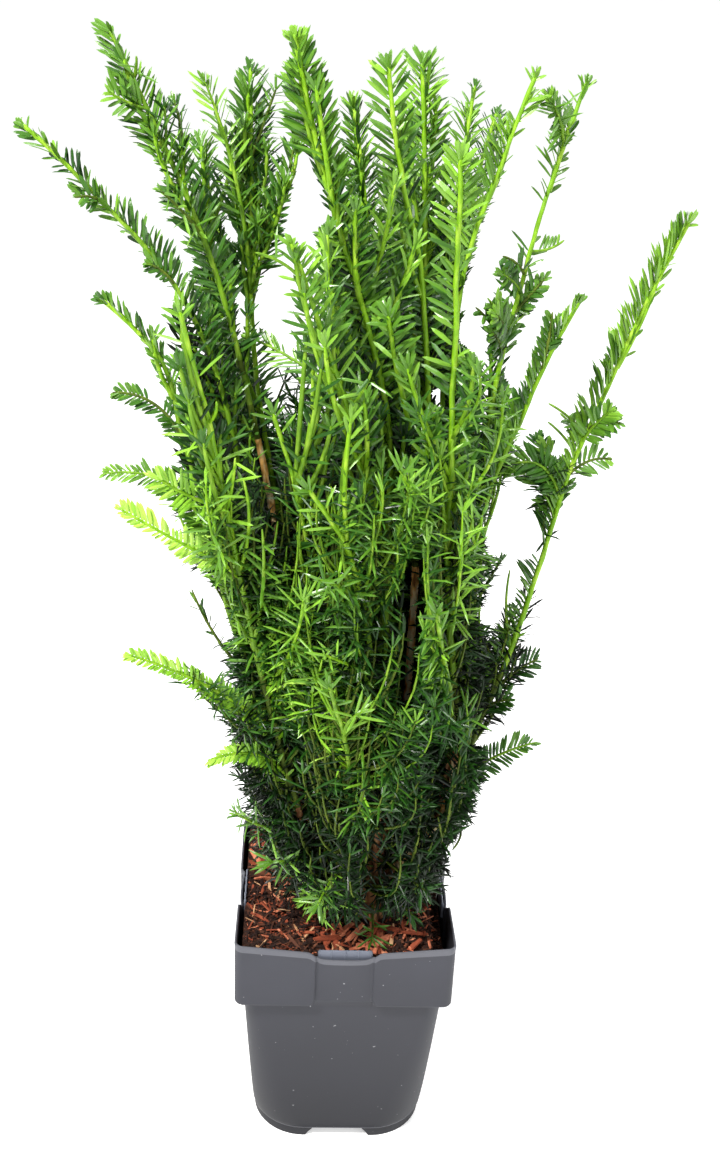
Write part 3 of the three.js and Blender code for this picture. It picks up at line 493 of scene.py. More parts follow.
def bark_material(name, stops, rough, strength):
    m, nt, b = principled(name, stops[1][1], rough, 0.3)
    mp, no = noise_colour(nt, b, 160.0, stops, 6.0, (1, 1, 0.3))
    wv = node(nt, "ShaderNodeTexNoise")
    wv.inputs["Scale"].default_value = 420.0
    wv.inputs["Detail"].default_value = 3.0
    nt.links.new(mp.outputs["Vector"], wv.inputs["Vector"])
    bump(nt, b, wv.outputs["Fac"], strength, 0.0012)
    return m


BARK = bark_material("yew_bark", [(0.32, srgb(70, 42, 24)), (0.5, srgb(134, 88, 52)), (0.68, srgb(190, 146, 104))], 0.85, 0.8)
OLIVE = bark_material("olive_bark", [(0.3, srgb(52, 66, 14)), (0.55, srgb(84, 106, 22)), (0.75, srgb(118, 134, 42))], 0.7, 0.5)
GREEN = bark_material("green_shoot", [(0.3, srgb(76, 116, 14)), (0.52, srgb(108, 152, 24)), (0.72, srgb(146, 182, 56))], 0.5, 0.5)
LIME = bark_material("lime_shoot", [(0.3, srgb(92, 142, 12)), (0.52, srgb(126, 176, 22)), (0.72, srgb(172, 206, 66))], 0.45, 0.5)
# paler bark for the flaking stretches: partly the real orange of flaking yew bark, partly painted light, pushed near
# white so that stretches deep in the crown's shade still read bright
FLAKING_PAINTED_LIGHT = bark_material("flaking_bark_painted_light", [(0.32, srgb(160, 104, 48)), (0.44, srgb(244, 188, 104)), (0.58, srgb(255, 234, 184))], 0.85, 1.0)
STEM_MATS = [BARK, OLIVE, GREEN, LIME, FLAKING_PAINTED_LIGHT]
FLAKES_PAINTED_LIGHT = {"centre": (430, 612), "a": (600, 705), "l5": (285, 470)}

# ------------------------------------------------------------- stems and limbs


def value_noise(x, y, seed):
    """smooth repeatable noise in -1..1 on a grid of unit cells"""
    xi, yi = np.floor(x).astype(int), np.floor(y).astype(int)
    xf, yf = x - xi, y - yi
    xf, yf = xf * xf * (3 - 2 * xf), yf * yf * (3 - 2 * yf)

    def h(i, j):
        s = np.sin(i * 127.1 + j * 311.7 + seed * 74.7) * 43758.5453
        return 2 * (s - np.floor(s)) - 1
    return ((h(xi, yi) * (1 - xf) + h(xi + 1, yi) * xf) * (1 - yf)
            + (h(xi, yi + 1) * (1 - xf) + h(xi + 1, yi + 1) * xf) * yf)


def bark_relief(depth, seed, ridges=9, step=2.2):
    def f(r, k, a):
        kk, aa = np.meshgrid(k, a, indexing="ij")
        long_ = value_noise(aa / (2 * np.pi) * ridges, kk * step * 0.045, seed)
        fine = value_noise(aa / (2 * np.pi) * ridges * 2.3, kk * step * 0.16, seed + 5)
        lump = value_noise(aa / (2 * np.pi) * 3, kk * step * 0.07, seed + 9)
        return r * (1 + depth * (0.5 * long_ + 0.3 * fine + 0.6 * lump))
    return f


# height up to which each limb keeps its brown, flaking bark
BROWN_TO = {"a": 705, "centre": 612, "l5": 455, "l1": 370, "c": 400, "d": 560, "b": 520, "h6": 560, "h5": 560, "l2": 400, "i": 380, "s2": 330, "l8": 395}


# how far above that it turns green and then lime
GREEN_ON = {"l1": 170, "l5": 70, "l2": 110, "a": 60, "d": 40, "centre": 60}
LIME_ON = {"l1": 260, "l5": 140, "l2": 240, "a": 360, "b": 420, "c": 420, "d": 120, "l6": 330, "l7": 330, "l8": 110, "l9": 330, "centre": 190}


def stem_tone(name, z, f):
    """material index of a leader's bark at a height and at a fraction of its length"""
    k = np.ones(len(z), int)
    top = BROWN_TO.get(name, 430) + 14 * np.sin(z * 0.09)
    k[z < top] = 0
    # from this height the brown stretch takes the paler flaking bark, which carries painted light
    if name in FLAKES_PAINTED_LIGHT:
        k[(k == 0) & (z > FLAKES_PAINTED_LIGHT[name][0] + 8 * np.sin(z * 0.2))] = 4
    k[z > top + GREEN_ON.get(name, 110) + 10 * np.sin(z * 0.13)] = 2
    k[z > top + LIME_ON.get(name, 230) + 12 * np.sin(z * 0.07)] = 3
    return k


wood = Tubes()
# short main stem: flared, fluted foot on the substrate, knuckle at the fork
n = 30
fr = np.linspace(0, 1, n)
pts = FOOT + (FORK - FOOT) * fr[:, None]
rad = 8.2 + 6.2 * np.clip(1 - fr * 1.8, 0, 1) ** 2 + 1.6 * np.exp(-((fr - 0.92) / 0.14) ** 2)


def trunk_relief(r, k, a):
    kk, aa = np.meshgrid(k, a, indexing="ij")
    flare = np.clip(1 - kk / (n - 1) * 1.8, 0, 1) ** 2
    r = r * (1 + 0.2 * flare * np.cos(5 * aa + 0.6))
    return bark_relief(0.22, 3, 11)(r, k, a)


wood.add(pts, rad, 32, 0, trunk_relief)
for i, (name, spec) in enumerate(LEADERS.items()):
    L = limbs[name]
    m = max(24, int(L.len / 2.6))
    s = np.linspace(0, L.len, m)
    p, t = L.along(s)
    u, v = frames(t)
    f = s / L.len
    wob = 0.9 * np.sin(s / 19 + i) + 0.5 * np.sin(s / 7.3 + 2 * i)
    p = p + u * (wob * np.clip(f * 6, 0, 1) * 0.45)[:, None]
    r = L.radius(s) * (1 + 0.55 * np.exp(-s / 7.0))          # collar where the limb leaves its host
    # the blunt end with its bud
    end = L.len - s
    r = r * np.interp(end, [0, 1.5, 3.5, 6], [0.45, 0.95, 1.12, 1.0])
    sides = 14 if spec[6] > 3.9 else 10
    z = p[:, 2]
    depth = np.where(np.isin(stem_tone(name, z, f), (0, 4)), 0.30, 0.12)[:, None]

    def relief(r_, k, a, depth=depth, i=i, s=s):
        kk, aa = np.meshgrid(s, a, indexing="ij")
        ridge = np.cos(5 * aa - kk * 0.24 + i)                # ridges that run down from the needle bases
        base = 1 + depth * (bark_relief(1.0, 20 + i, 7, 2.6)(np.ones_like(aa), np.arange(len(s)), a) - 1)
        return r_ * base * (1 + 0.07 * ridge)
    wood.add(p, r, sides, stem_tone(name, z, f), relief)
boughs = wood.build("yew_stems", STEM_MATS)

# ------------------------------------------------------- where the crown is open


# the room the crown takes up in that view, and the gaps in it where the sky shows
OUTLINE = [
    (74, 2), (118, 30), (124, 54), (150, 68), (164, 98), (182, 92), (190, 136), (204, 116), (186, 90), (186, 68), (214, 76), (253, 62), (268, 68),
    (270, 84), (290, 55), (290, 26), (316, 26), (313, 47), (327, 54), (327, 76), (336, 92), (360, 90), (370, 84), (357, 68), (366, 46), (389, 54),
    (397, 31), (425, 52), (440, 42), (452, 65), (438, 96), (459, 94), (479, 80), (484, 90), (478, 114), (495, 106), (513, 112), (538, 62), (540, 90),
    (554, 86), (562, 100), (579, 73), (594, 76), (596, 84), (574, 130), (565, 180), (548, 200), (542, 234), (568, 236), (538, 262), (534, 275),
    (551, 272), (548, 290), (530, 312), (504, 374), (511, 388), (524, 388), (546, 311), (562, 314), (580, 293), (590, 297), (568, 324), (518, 440),
    (540, 430), (556, 442), (549, 452), (559, 462), (572, 441), (557, 412), (580, 413), (580, 366), (597, 380), (594, 358), (606, 359), (612, 324),
    (624, 317), (616, 298), (636, 303), (627, 274), (646, 278), (648, 248), (680, 211), (699, 213), (699, 226), (652, 305), (624, 384), (608, 398),
    (626, 424), (598, 443), (615, 463), (598, 479), (580, 479), (561, 506), (543, 608), (523, 638), (540, 646), (542, 673), (511, 687), (515, 703),
    (500, 722), (462, 742), (485, 746), (517, 730), (540, 743), (475, 789), (476, 812), (447, 848), (456, 900), (458, 960), (236, 960), (236, 831),
    (226, 815), (240, 785), (225, 771), (206, 776), (202, 766), (230, 744), (226, 721), (182, 681), (121, 658), (131, 647), (172, 656), (195, 634),
    (187, 661), (215, 682), (221, 660), (186, 598), (192, 586), (206, 600), (225, 640), (236, 636), (224, 592), (198, 567), (182, 562), (160, 540),
    (128, 522), (114, 508), (124, 498), (150, 508), (180, 534), (184, 524), (160, 500), (141, 485), (99, 477), (107, 465), (138, 464), (144, 451),
    (150, 467), (170, 466), (182, 464), (156, 416), (110, 397), (116, 383), (140, 384), (160, 402), (168, 399), (138, 331), (120, 315), (86, 303),
    (99, 291), (118, 295), (152, 328), (164, 304), (175, 298), (164, 281), (144, 270), (144, 254), (110, 221), (78, 203), (64, 177), (20, 138),
    (11, 122), (44, 131), (58, 147), (77, 151), (88, 175), (112, 195), (124, 189), (138, 196), (156, 230), (170, 232), (185, 272), (192, 271),
    (194, 260), (170, 222), (158, 201), (154, 187), (164, 179), (154, 158), (134, 139), (102, 100), (109, 67), (76, 38),
]
GAPS = [
    [(542, 109), (526, 121), (481, 226), (460, 298), (459, 341), (490, 367), (488, 332), (474, 314), (497, 296), (490, 272), (499, 261), (522, 253),
     (513, 227), (534, 232), (540, 205), (521, 176), (540, 187), (547, 172), (534, 148), (555, 124)],
    [(507, 475), (483, 519), (487, 554), (508, 552), (475, 613), (483, 625), (500, 621), (502, 606), (516, 600), (524, 582), (519, 558), (534, 558),
     (543, 530), (531, 502), (541, 490)],
    [(300, 147), (283, 234), (294, 238), (316, 248), (314, 228), (325, 225), (328, 217), (310, 158)],
    [(267, 271), (257, 281), (257, 318), (291, 355), (293, 341), (281, 319), (286, 311), (277, 298), (285, 287), (277, 273)],
    [(215, 137), (217, 156), (232, 171), (228, 149)], [(434, 382), (428, 401), (444, 409), (446, 397)], [(274, 374), (268, 388), (275, 399), (285, 388)],
    [(236, 290), (242, 284), (245, 320), (240, 344), (235, 336)], [(217, 214), (231, 218), (240, 238), (237, 246), (228, 236)],
]


def within_polygon(poly, q):
    P = np.array(poly, float)
    x, y = q[:, 0], q[:, 1]
    c = np.zeros(len(q), bool)
    for k in range(len(P)):
        (x0, y0), (x1, y1) = P[k - 1], P[k]
        if y0 != y1:
            c ^= ((y0 > y) != (y1 > y)) & (x < (x1 - x0) * (y - y0) / (y1 - y0) + x0)
    return c


def in_sky(q):
    """which of these view places lie outside the crown or in one of its gaps"""
    q = np.atleast_2d(q)
    hit = ~within_polygon(OUTLINE, q)
    for poly in GAPS:
        lo, hi = np.min(poly, 0), np.max(poly, 0)
        near = np.where((q[:, 0] > lo[0]) & (q[:, 0] < hi[0]) & (q[:, 1] > lo[1]) & (q[:, 1] < hi[1]))[0]
        if len(near):
            hit[near[within_polygon(poly, q[near])]] = True
    return hit


# limbs whose bright stems show through the foliage in front: limb, from and to as a fraction, share of what hides them that goes
SHOWN = [
    ("l5", .30, 1.0, .95, 3.6), ("l2", .30, 1.0, .85, 2.8), ("l1", .20, 1.0, .92, 3.4), ("l3", .40, 1.0, .7, 2.6), ("centre", .62, 1.0, .75, 2.6),
    ("i", .22, .95, .85, 2.8), ("e", .30, 1.0, .75, 2.6), ("s2", .2, .9, .5, 2.6), ("l8", .16, .42, .85, 3.2), ("l8", .42, 1.0, .35, 2.6),
    ("l7", .4, .7, .5, 2.6), ("l7", .7, 1.0, .45, 2.6), ("l6", .45, 1.0, .6, 2.6), ("a", .55, 1.0, .4, 2.6), ("b", .45, 1.0, .35, 2.6),
    ("c", .5, 1.0, .4, 2.6), ("d", .46, .68, .9, 3.4), ("d", .68, 1.0, .5, 2.6), ("f2", .3, 1.0, .5, 2.6), ("l9", .35, 1.0, .3, 2.6),
    ("h5", .6, 1.0, .5, 2.6), ("f1", .5, 1.0, .6, 2.6),
    # brown, flaking stretches
    ("stem", .05, 1.0, .96, 6.4), ("l7", .0, .12, .9, 4.2), ("l5", .02, .13, .92, 4.4), ("l1", .02, .20, .5, 3.0), ("centre", .0, .1, .8, 4.2), ("i", .0, .07, .85, 4.0), ("l2", .0, .07, .85, 4.0),
    ("centre", .25, .44, .96, 7.4), ("a", .46, .57, .95, 5.0), ("l5", .22, .28, .6, 2.8), ("c", .08, .22, .6, 3.0),
]
shown_paths = {}


def hides(points, wider=0.0):
    """for each point (..., 3): the largest share of the SHOWN stretches that it stands in front of"""
    q, w = seen(points.reshape(-1, 3))
    out = np.zeros(len(q))
    for k_, (name, f0, f1, share, margin) in enumerate(SHOWN):
        if k_ not in shown_paths:
            L = limbs[name]
            s_ = np.linspace(L.len * f0, L.len * f1, 90)
            sq, sw = seen(L.along(s_)[0])
            o = np.argsort(sq[:, 1])
            shown_paths[k_] = (sq[o, 1], sq[o, 0], sw[o])
        y, x, dep = shown_paths[k_]
        ok = (q[:, 1] > y[0]) & (q[:, 1] < y[-1])
        xi = np.interp(q[:, 1], y, x)
        di = np.interp(q[:, 1], y, dep)
        hit = ok & (np.abs(q[:, 0] - xi) < margin + wider) & (w < di - 2.5)
        out = np.maximum(out, np.where(hit, share, 0))
    return out.reshape(points.shape[:-1])


# ---------------------------------------------------------------------- sprays


class Needles:
    """needle store: base, direction, face normal, length, width, bend, tone, hero"""

    def __init__(self):
        self.rows = []

    def add(self, base, d, nrm, length, width, bend, tone, hero=0.0):
        k = len(base)
        one = lambda a: np.broadcast_to(np.asarray(a, float).reshape(-1, 1), (k, 1))
        self.rows.append(np.concatenate([base, d, nrm, one(length), one(width), one(bend), one(tone), one(hero)], 1))


needles = Needles()
twigs = Tubes()
TOP_TONE = len(NEEDLE_TONES) - 1


def tone_of(level, spread=0.55):
    """integer tones round a level, dealt by whole sprays; level 0 is the second darkest"""
    return float(np.clip(round(level + 1 + rng.normal(0, spread)), 0, TOP_TONE))


def turn_to_light(pos, d, nrm, share=1.35):
    """yew needles twist at their foot so that the upper face looks up and outwards"""
    ax = np.stack([np.interp(np.minimum(pos[:, 2], 772), AXIS_Z, AXIS[:, k]) for k in range(2)], 1)
    o = (pos[:, :2] - ax) / 90.0
    o = o / np.maximum(1.0, np.linalg.norm(o, axis=1, keepdims=True))
    want = np.concatenate([o[:, :1] * 0.35, o[:, 1:] * 0.35 - 0.7, np.full((len(pos), 1), 0.5)], 1)
    want = want - np.sum(want * d, 1)[:, None] * d
    return unit(nrm * 0.55 + want * share)


def dress(P, s, alpha, length, width, bend, tone, radius=1.2, part=None, flat=1.0, lean=None, push=0.8, comb=None, hero=0.0, light=1.35):
    """Needles along a polyline P at arc lengths s. alpha is the angle to the shoot in degrees. They go round it by
    the golden angle; flat < 1 parts them away from the direction part; lean pulls them to one side; comb lays them in
    two ranks in the plane square to that vector."""
    n = len(s)
    if n == 0:
        return
    seg = np.linalg.norm(np.diff(P, axis=0), axis=1)
    S = np.concatenate([[0], np.cumsum(seg)])
    at = lambda q: np.stack([np.interp(q, S, P[:, k]) for k in range(3)], 1)
    pos = at(s)
    t = unit(at(np.clip(s + 3, 0, S[-1])) - at(np.clip(s - 3, 0, S[-1])) + 1e-9)
    if comb is not None:
        nn = unit(comb - (t @ comb)[:, None] * t + 1e-6)
        side = np.cross(t, nn)
        sg = np.where(np.arange(n) % 2 == 0, 1.0, -1.0)
        tilt = np.radians(16 + rng.normal(0, 15, n))
        rad = side * (sg * np.cos(tilt))[:, None] + nn * np.sin(tilt)[:, None]
    else:
        u, v = frames(t)
        ang = rng.uniform(0, 6.28) + np.arange(n) * math.radians(137.5) + rng.normal(0, 0.25, n)
        rad = u * np.cos(ang)[:, None] + v * np.sin(ang)[:, None]
        if part is not None:
            rad = unit(rad - (rad @ part)[:, None] * part * (1 - flat))
            rad = unit(rad - np.sum(rad * t, 1)[:, None] * t)
        if lean is not None:
            up = np.asarray(lean, float)
            up = up - (t @ up)[:, None] * t
            rad = unit(rad + unit(up) * push)
    a = np.radians(alpha)
    d = unit(t * np.cos(a)[:, None] + rad * np.sin(a)[:, None])
    nrm = unit(t - np.sum(t * d, 1)[:, None] * d)
    if comb is not None:
        nrm = unit(nn * 0.8 + nrm * 0.35)
    else:
        nrm = turn_to_light(pos, d, nrm, light)
    nrm = unit(nrm + rng.normal(0, 0.2, nrm.shape))
    needles.add(pos + rad * (np.asarray(radius) * 0.8).reshape(-1, 1), d, nrm, length, width, bend, tone, hero)


def rosette(tip, t, k, length, tone, spread=(18, 66), width=2.7, lean=None, light=0.8, hero=1.0):
    """the needles crowded round the end of a shoot"""
    tt = np.repeat(t[None], k, 0)
    u, v = frames(tt)
    a = np.arange(k) * 2.4 + rng.uniform(0, 6.28)
    al = np.radians(np.linspace(spread[1], spread[0], k) + rng.normal(0, 6, k))
    rr = u * np.cos(a)[:, None] + v * np.sin(a)[:, None]
    if lean is not None:
        tt = unit(tt + np.asarray(lean, float))
    d = unit(tt * np.cos(al)[:, None] + rr * np.sin(al)[:, None])
    nrm = tt - np.sum(tt * d, 1)[:, None] * d
    nrm = unit(turn_to_light(np.repeat(tip[None], k, 0), d, nrm, light) + rng.normal(0, 0.15, (k, 3)))
    ln = np.linspace(1.0, 0.72, k) * length * rng.uniform(.9, 1.1, k)
    needles.add(np.repeat(tip[None], k, 0) - tt * np.linspace(5, 0.5, k)[:, None], d, nrm, ln, width, rng.normal(-.14, .07, k), tone, hero)


# twig bark follows its spray's tone level, so it carries that level's painted shade as well
def twig_mat(level):
    return 3 if level >= 4.6 else 2 if level >= 2.6 else 1


def add_twig(P, r0, r1, level, sides=6):
    r = np.linspace(r0, r1, len(P))
    r[-1] *= 0.6
    twigs.add(P, r, sides, twig_mat(level + rng.normal(0, .3)))


FRONT = np.array([0.0, -1.0, 0.0])


def dress_leader(L, f0, tone_low, tone_top, lean=None, dens=1.0, alpha_top=46, alpha_low=74, wide=4.0, long_=26.0, flat=0.3, push=0.85, tip_lean=None, light=1.35, hero=2.0, curl=1.0):
    """needles set round an upright shoot: steep and long near the top, level and shorter low down"""
    s = L.len * f0
    S = []
    while s < L.len - 3.5:
        S.append(s)
        down = L.len - s
        s += (2.5 if down < 300 else 3.2) / dens * rng.uniform(0.75, 1.25)
    if len(S) < 4:
        return
    s = np.array(S)
    n = len(s)
    down = L.len - s
    alpha = np.interp(down, [0, 25, 90, 260, 420], [30, alpha_top - 4, alpha_top + 2, (alpha_top + alpha_low) / 2, alpha_low]) + rng.normal(0, 6.5, n)
    length = np.interp(down, [0, 20, 60, 300, 480], [0.72, 0.86, 1.0, 0.94, 0.78]) * long_ + rng.normal(0, 1.8, n)
    width = wide * np.interp(down, [0, 40, 300, 500], [0.9, 1.0, 0.95, 0.8]) + rng.normal(0, .2, n)
    bend = curl * np.interp(down, [0, 60, 300], [-.06, -.13, -.20]) + rng.normal(0, 0.06, n)
    f = (s - s[0]) / (L.len - s[0])
    tone = np.zeros(n)
    for k in range(0, n, 14):                             # one tone for each stretch of shoot
        tone[k:k + 14] = tone_of(tone_low + (tone_top - tone_low) * f[min(k, n - 1)], 0.5)
    tone = np.clip(tone + (rng.random(n) < 0.15) - (rng.random(n) < 0.18), 0, TOP_TONE)
    dress(L.p, s, alpha, length, width, bend, tone, L.radius(s), FRONT, flat, lean, push, None, hero, np.interp(down, [0, 220, 420], [light, light, 0.45 * light])[:, None])
    rosette(L.p[-1], unit(L.p[-1] - L.p[-3]), 7, long_ * 0.8, float(np.clip(round(tone_top) + 1, 0, TOP_TONE)), (10, 48), wide * 0.92, tip_lean, 1.2, hero + 1.0)


def dress_shoot(P, level, length0=19.0, width=2.6, gap=2.9, hero=0.0, rosette_up=0.0, start=3.0, alpha0=70, alpha1=46, flat=0.8, bend=-.24, light=0.4):
    """loosely set needles round a side shoot, crowded at its end"""
    total = float(np.linalg.norm(np.diff(P, axis=0), axis=1).sum())
    s = np.arange(min(start, total * .3), total - 3.0, gap)
    s = s + rng.uniform(-0.7, 0.7, len(s))
    n = len(s)
    f = s / total
    tone = tone_of(level)
    tt = np.clip(tone + (rng.random(n) < 0.12) - (rng.random(n) < 0.16), 0, TOP_TONE)
    alpha = np.interp(f, [0, .6, 1], [alpha0, (alpha0 + alpha1) / 2, alpha1]) + rng.normal(0, 9, n)
    ln = length0 * np.interp(f, [0, .25, 1], [.72, 1, .92]) + rng.normal(0, 1.8, n)
    dress(P, s, alpha, ln, width + rng.normal(0, .2, n), rng.normal(bend, .10, n), tt, 1.1, np.array([0, 0, 1.0]), flat, None, 0.8, None, hero, light)
    end_tone = float(np.clip(tone + rosette_up, 0, TOP_TONE))
    rosette(P[-1], unit(P[-1] - P[-2]), int(rng.integers(4, 7)), length0 * 0.86, end_tone, (12, 52), width, None, light, hero)


def dress_comb(P, level, length0, width, gap, face, alpha0=66, alpha1=40, tip_up=1.0):
    """a flat shoot with its needles in two ranks"""
    total = float(np.linalg.norm(np.diff(P, axis=0), axis=1).sum())
    s = np.arange(min(6.0, total * .2), total - 2.0, gap / 2)
    n = len(s)
    f = s / total
    tone = tone_of(level, 0.3)
    tt = np.clip(tone + tip_up * (f > 0.7) * (rng.random(n) < 0.7) - (rng.random(n) < 0.1), 0, TOP_TONE)
    alpha = np.interp(f, [0, .5, 1], [alpha0, (alpha0 + alpha1) / 2, alpha1 - 8]) + rng.normal(0, 5, n)
    ln = length0 * np.interp(f, [0, .2, .7, 1], [.7, 1, 1, .68]) + rng.normal(0, 1.0, n)
    dress(P, s, alpha, ln, width + rng.normal(0, .15, n), rng.normal(-.1, .05, n), tt, 0.9, None, 1.0, None, 0.8, face, 2.0)
    rosette(P[-1], unit(P[-1] - P[-2]), 4, length0 * 0.8, float(np.clip(tone + tip_up, 0, TOP_TONE)), (8, 30), width)


# leaders: (lowest dressed fraction, tone low, tone top, options)
DRESS = {
    "l2": (.12, 2.6, 4.6, dict(dens=1.3, wide=4.5)), "l5": (.14, 2.6, 4.8, dict(dens=1.05, wide=4.2)), "l3": (.12, 2.2, 4.2, dict(dens=1.25, wide=4.4)),
    "centre": (.25, 1.8, 4.4, dict(dens=1.3, wide=4.6, long_=28)), "l1": (.16, 3.2, 5.0, dict(alpha_top=62, alpha_low=82, long_=27, wide=2.8, dens=.8, curl=1.9)),
    "e": (.1, 3.0, 4.6, dict(long_=23, wide=3.9, alpha_top=50)),
    "a": (.18, 2.0, 3.8, dict(lean=(.1, -.1, .3), push=.3, dens=1.35, wide=4.6, alpha_top=38, tip_lean=(-.9, 0, .1))),
    "b": (.16, 2.0, 3.6, dict(lean=(.3, -.2, .9), alpha_top=44, alpha_low=54, long_=23, flat=.75, push=.55, dens=1.6, wide=4.4)),
    "c": (.18, 2.0, 3.4, dict(lean=(.2, -.1, .8), alpha_top=38, alpha_low=50, long_=19, flat=.8, wide=4.0, push=.4, dens=1.7)),
    "d": (.16, 1.6, 3.4, dict(long_=29, alpha_top=38, dens=1.25, wide=4.6)),
    "l6": (.16, 2.6, 4.6, dict(lean=(-.8, 0, .3), push=.45, dens=1.25, wide=4.6, long_=27)),
    "l7": (.2, 3.0, 4.5, dict(lean=(-.8, 0, .2), dens=.75, push=.7, wide=4.4, long_=24)),
    "l8": (.22, 3.5, 4.8, dict(lean=(-.85, 0, .45), push=1.3, alpha_top=32, alpha_low=46, dens=1.35, long_=27, flat=.6, wide=4.8)),
    "l9": (.2, 3.0, 4.3, dict(lean=(-.8, 0, .4), push=1.1, alpha_top=32, alpha_low=46, long_=24, dens=1.3, wide=4.4)),
    "i": (.12, 2.2, 4.4, dict(alpha_top=56, long_=24, wide=2.9)),
    "s2": (.12, 1.8, 4.4, dict(alpha_top=56, long_=23, wide=2.9)), "f1": (.1, 2.4, 4.2, dict(alpha_top=52, long_=24, wide=2.9)),
    "f2": (.1, 2.2, 4.4, dict(alpha_top=52, long_=24)), "f3": (.1, 2.0, 4.2, dict(alpha_top=56, long_=24, wide=2.9)),
    "h5": (.3, 1.6, 4.0, dict(alpha_top=44, long_=25, dens=1.2)),
}
for name in LEADERS:
    f0, lo, hi, opt = DRESS.get(name, (.16, 1.6, 3.4, {}))
    dress_leader(limbs[name], f0, lo, hi, **opt)


def lightness(p, cover):
    """a spray's tone level: by height, lighter further to the right, which is painted light, and darker the less it
    stands out and the more crown grows in front of it, which is painted shade
    """
    base = np.interp(p[2], [250, 330, 430, 560, 700, 820, 1050], [0.5, 0.55, 0.7, 2.25, 3.1, 3.65, 4.2])
    # painted light: sprays further to the right are set lighter
    base += np.interp(p[0], [-150, -60, 30, 120], [-.1, 0, .4, 1.15])
    # painted shade: the more crown stands in front of a spray, the darker its tone
    base -= np.interp(cover, [10, 30, 60, 120], [0, 1.1, 2.6, 3.8])
    return base


def cover_of(p, towards):
    """mm of crown between a point and the open air in one direction"""
    o = Vector((p[0] * MM, p[1] * MM, (p[2] + DATUM) * MM))
    d = Vector(towards)
    s, last = 0.0, 0.0
    for _ in range(24):
        hit = BVH.ray_cast(o, d)
        if hit[0] is None:
            break
        s += hit[3]
        last = s
        o = hit[0] + d * 1e-5
    return last / MM


BEHIND = [np.array([0.7, 0.5, 0.5]), np.array([0.2, 0.8, 0.5]), np.array([-0.6, 0.6, 0.5])]
LIGHT_DIR = tuple(unit(np.array([-0.42, -0.5, 0.76])))


def within(p):
    return clearance(p) < 1.5 or inside(p)


ROUND = [np.array([math.cos(a), math.sin(a), 0.0]) for a in np.arange(6) * math.pi / 3]


def fits(p, r, up):
    """room for a spray: the crown goes on for r mm all round and up mm above"""
    return all(within(p + d * r) for d in ROUND) and within(p + np.array([0, 0, up]))


# every point on a limb that a shoot could spring from
host_p, host_t, host_r, host_n = [], [], [], []
for name, L in limbs.items():
    if name == "stem":
        continue
    s = np.arange(L.len * 0.06, L.len - 60, 7.0)
    p, t = L.along(s)
    host_p.append(p), host_t.append(t), host_r.append(L.radius(s)), host_n.extend([name] * len(s))
host_p, host_t, host_r = np.concatenate(host_p), np.concatenate(host_t), np.concatenate(host_r)

# seeds of the sprays: evenly spread through the crown, closer together near its surface
mass_boxes = [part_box(n) for n in MASSES]
vols = np.array([np.prod([b[1][k] - b[0][k] for k in range(3)]) for b in mass_boxes])
cell = 16.0
taken = {}


def crowded(p, gap):
    c = np.floor(p / cell).astype(int)
    r = int(math.ceil(gap / cell))
    for i in range(-r, r + 1):
        for j in range(-r, r + 1):
            for k in range(-r, r + 1):
                for q in taken.get((c[0] + i, c[1] + j, c[2] + k), ()):
                    if np.sum((q - p) ** 2) < gap * gap:
                        return True
    return False


seeds = []
tries = rng.choice(len(MASSES), 150000, p=vols / vols.sum())
for m_i in tries:
    b = mass_boxes[m_i]
    q = np.array([rng.uniform(b[0][k], b[1][k]) for k in range(3)]) / MM - np.array([0, 0, DATUM])
    if crowded(q, GAP_MIN):
        continue
    if not inside(q):
        continue
    high = q[2] > 742
    dl = np.min(np.sum((host_p - q) ** 2, 1)) ** .5
    if dl < (10 if high else 8):
        continue
    if in_sky(seen(q)[0])[0]:
        continue
    if not fits(q, 7.0, 4.0):
        continue
    deep = fits(q, 46.0, 34.0)
    if crowded(q, GAP_DEEP if deep else (GAP_TOP if high else (GAP_LOW if q[2] < 420 else GAP_MIN))):
        continue
    taken.setdefault(tuple(np.floor(q / cell).astype(int)), []).append(q)
    seeds.append((q, deep, high))
print("seeds", len(seeds))

BRIGHT = [((155, 490), 26, 5.4), ((325, 685), 22, 5.0), ((435, 622), 20, 4.6), ((300, 612), 20, 4.8), ((316, 905), 14, 5.2),
          ((345, 655), 14, 4.4), ((372, 772), 14, 3.4), ((232, 560), 30, 4.8), ((225, 480), 30, 5.0), ((400, 560), 16, 3.6)]

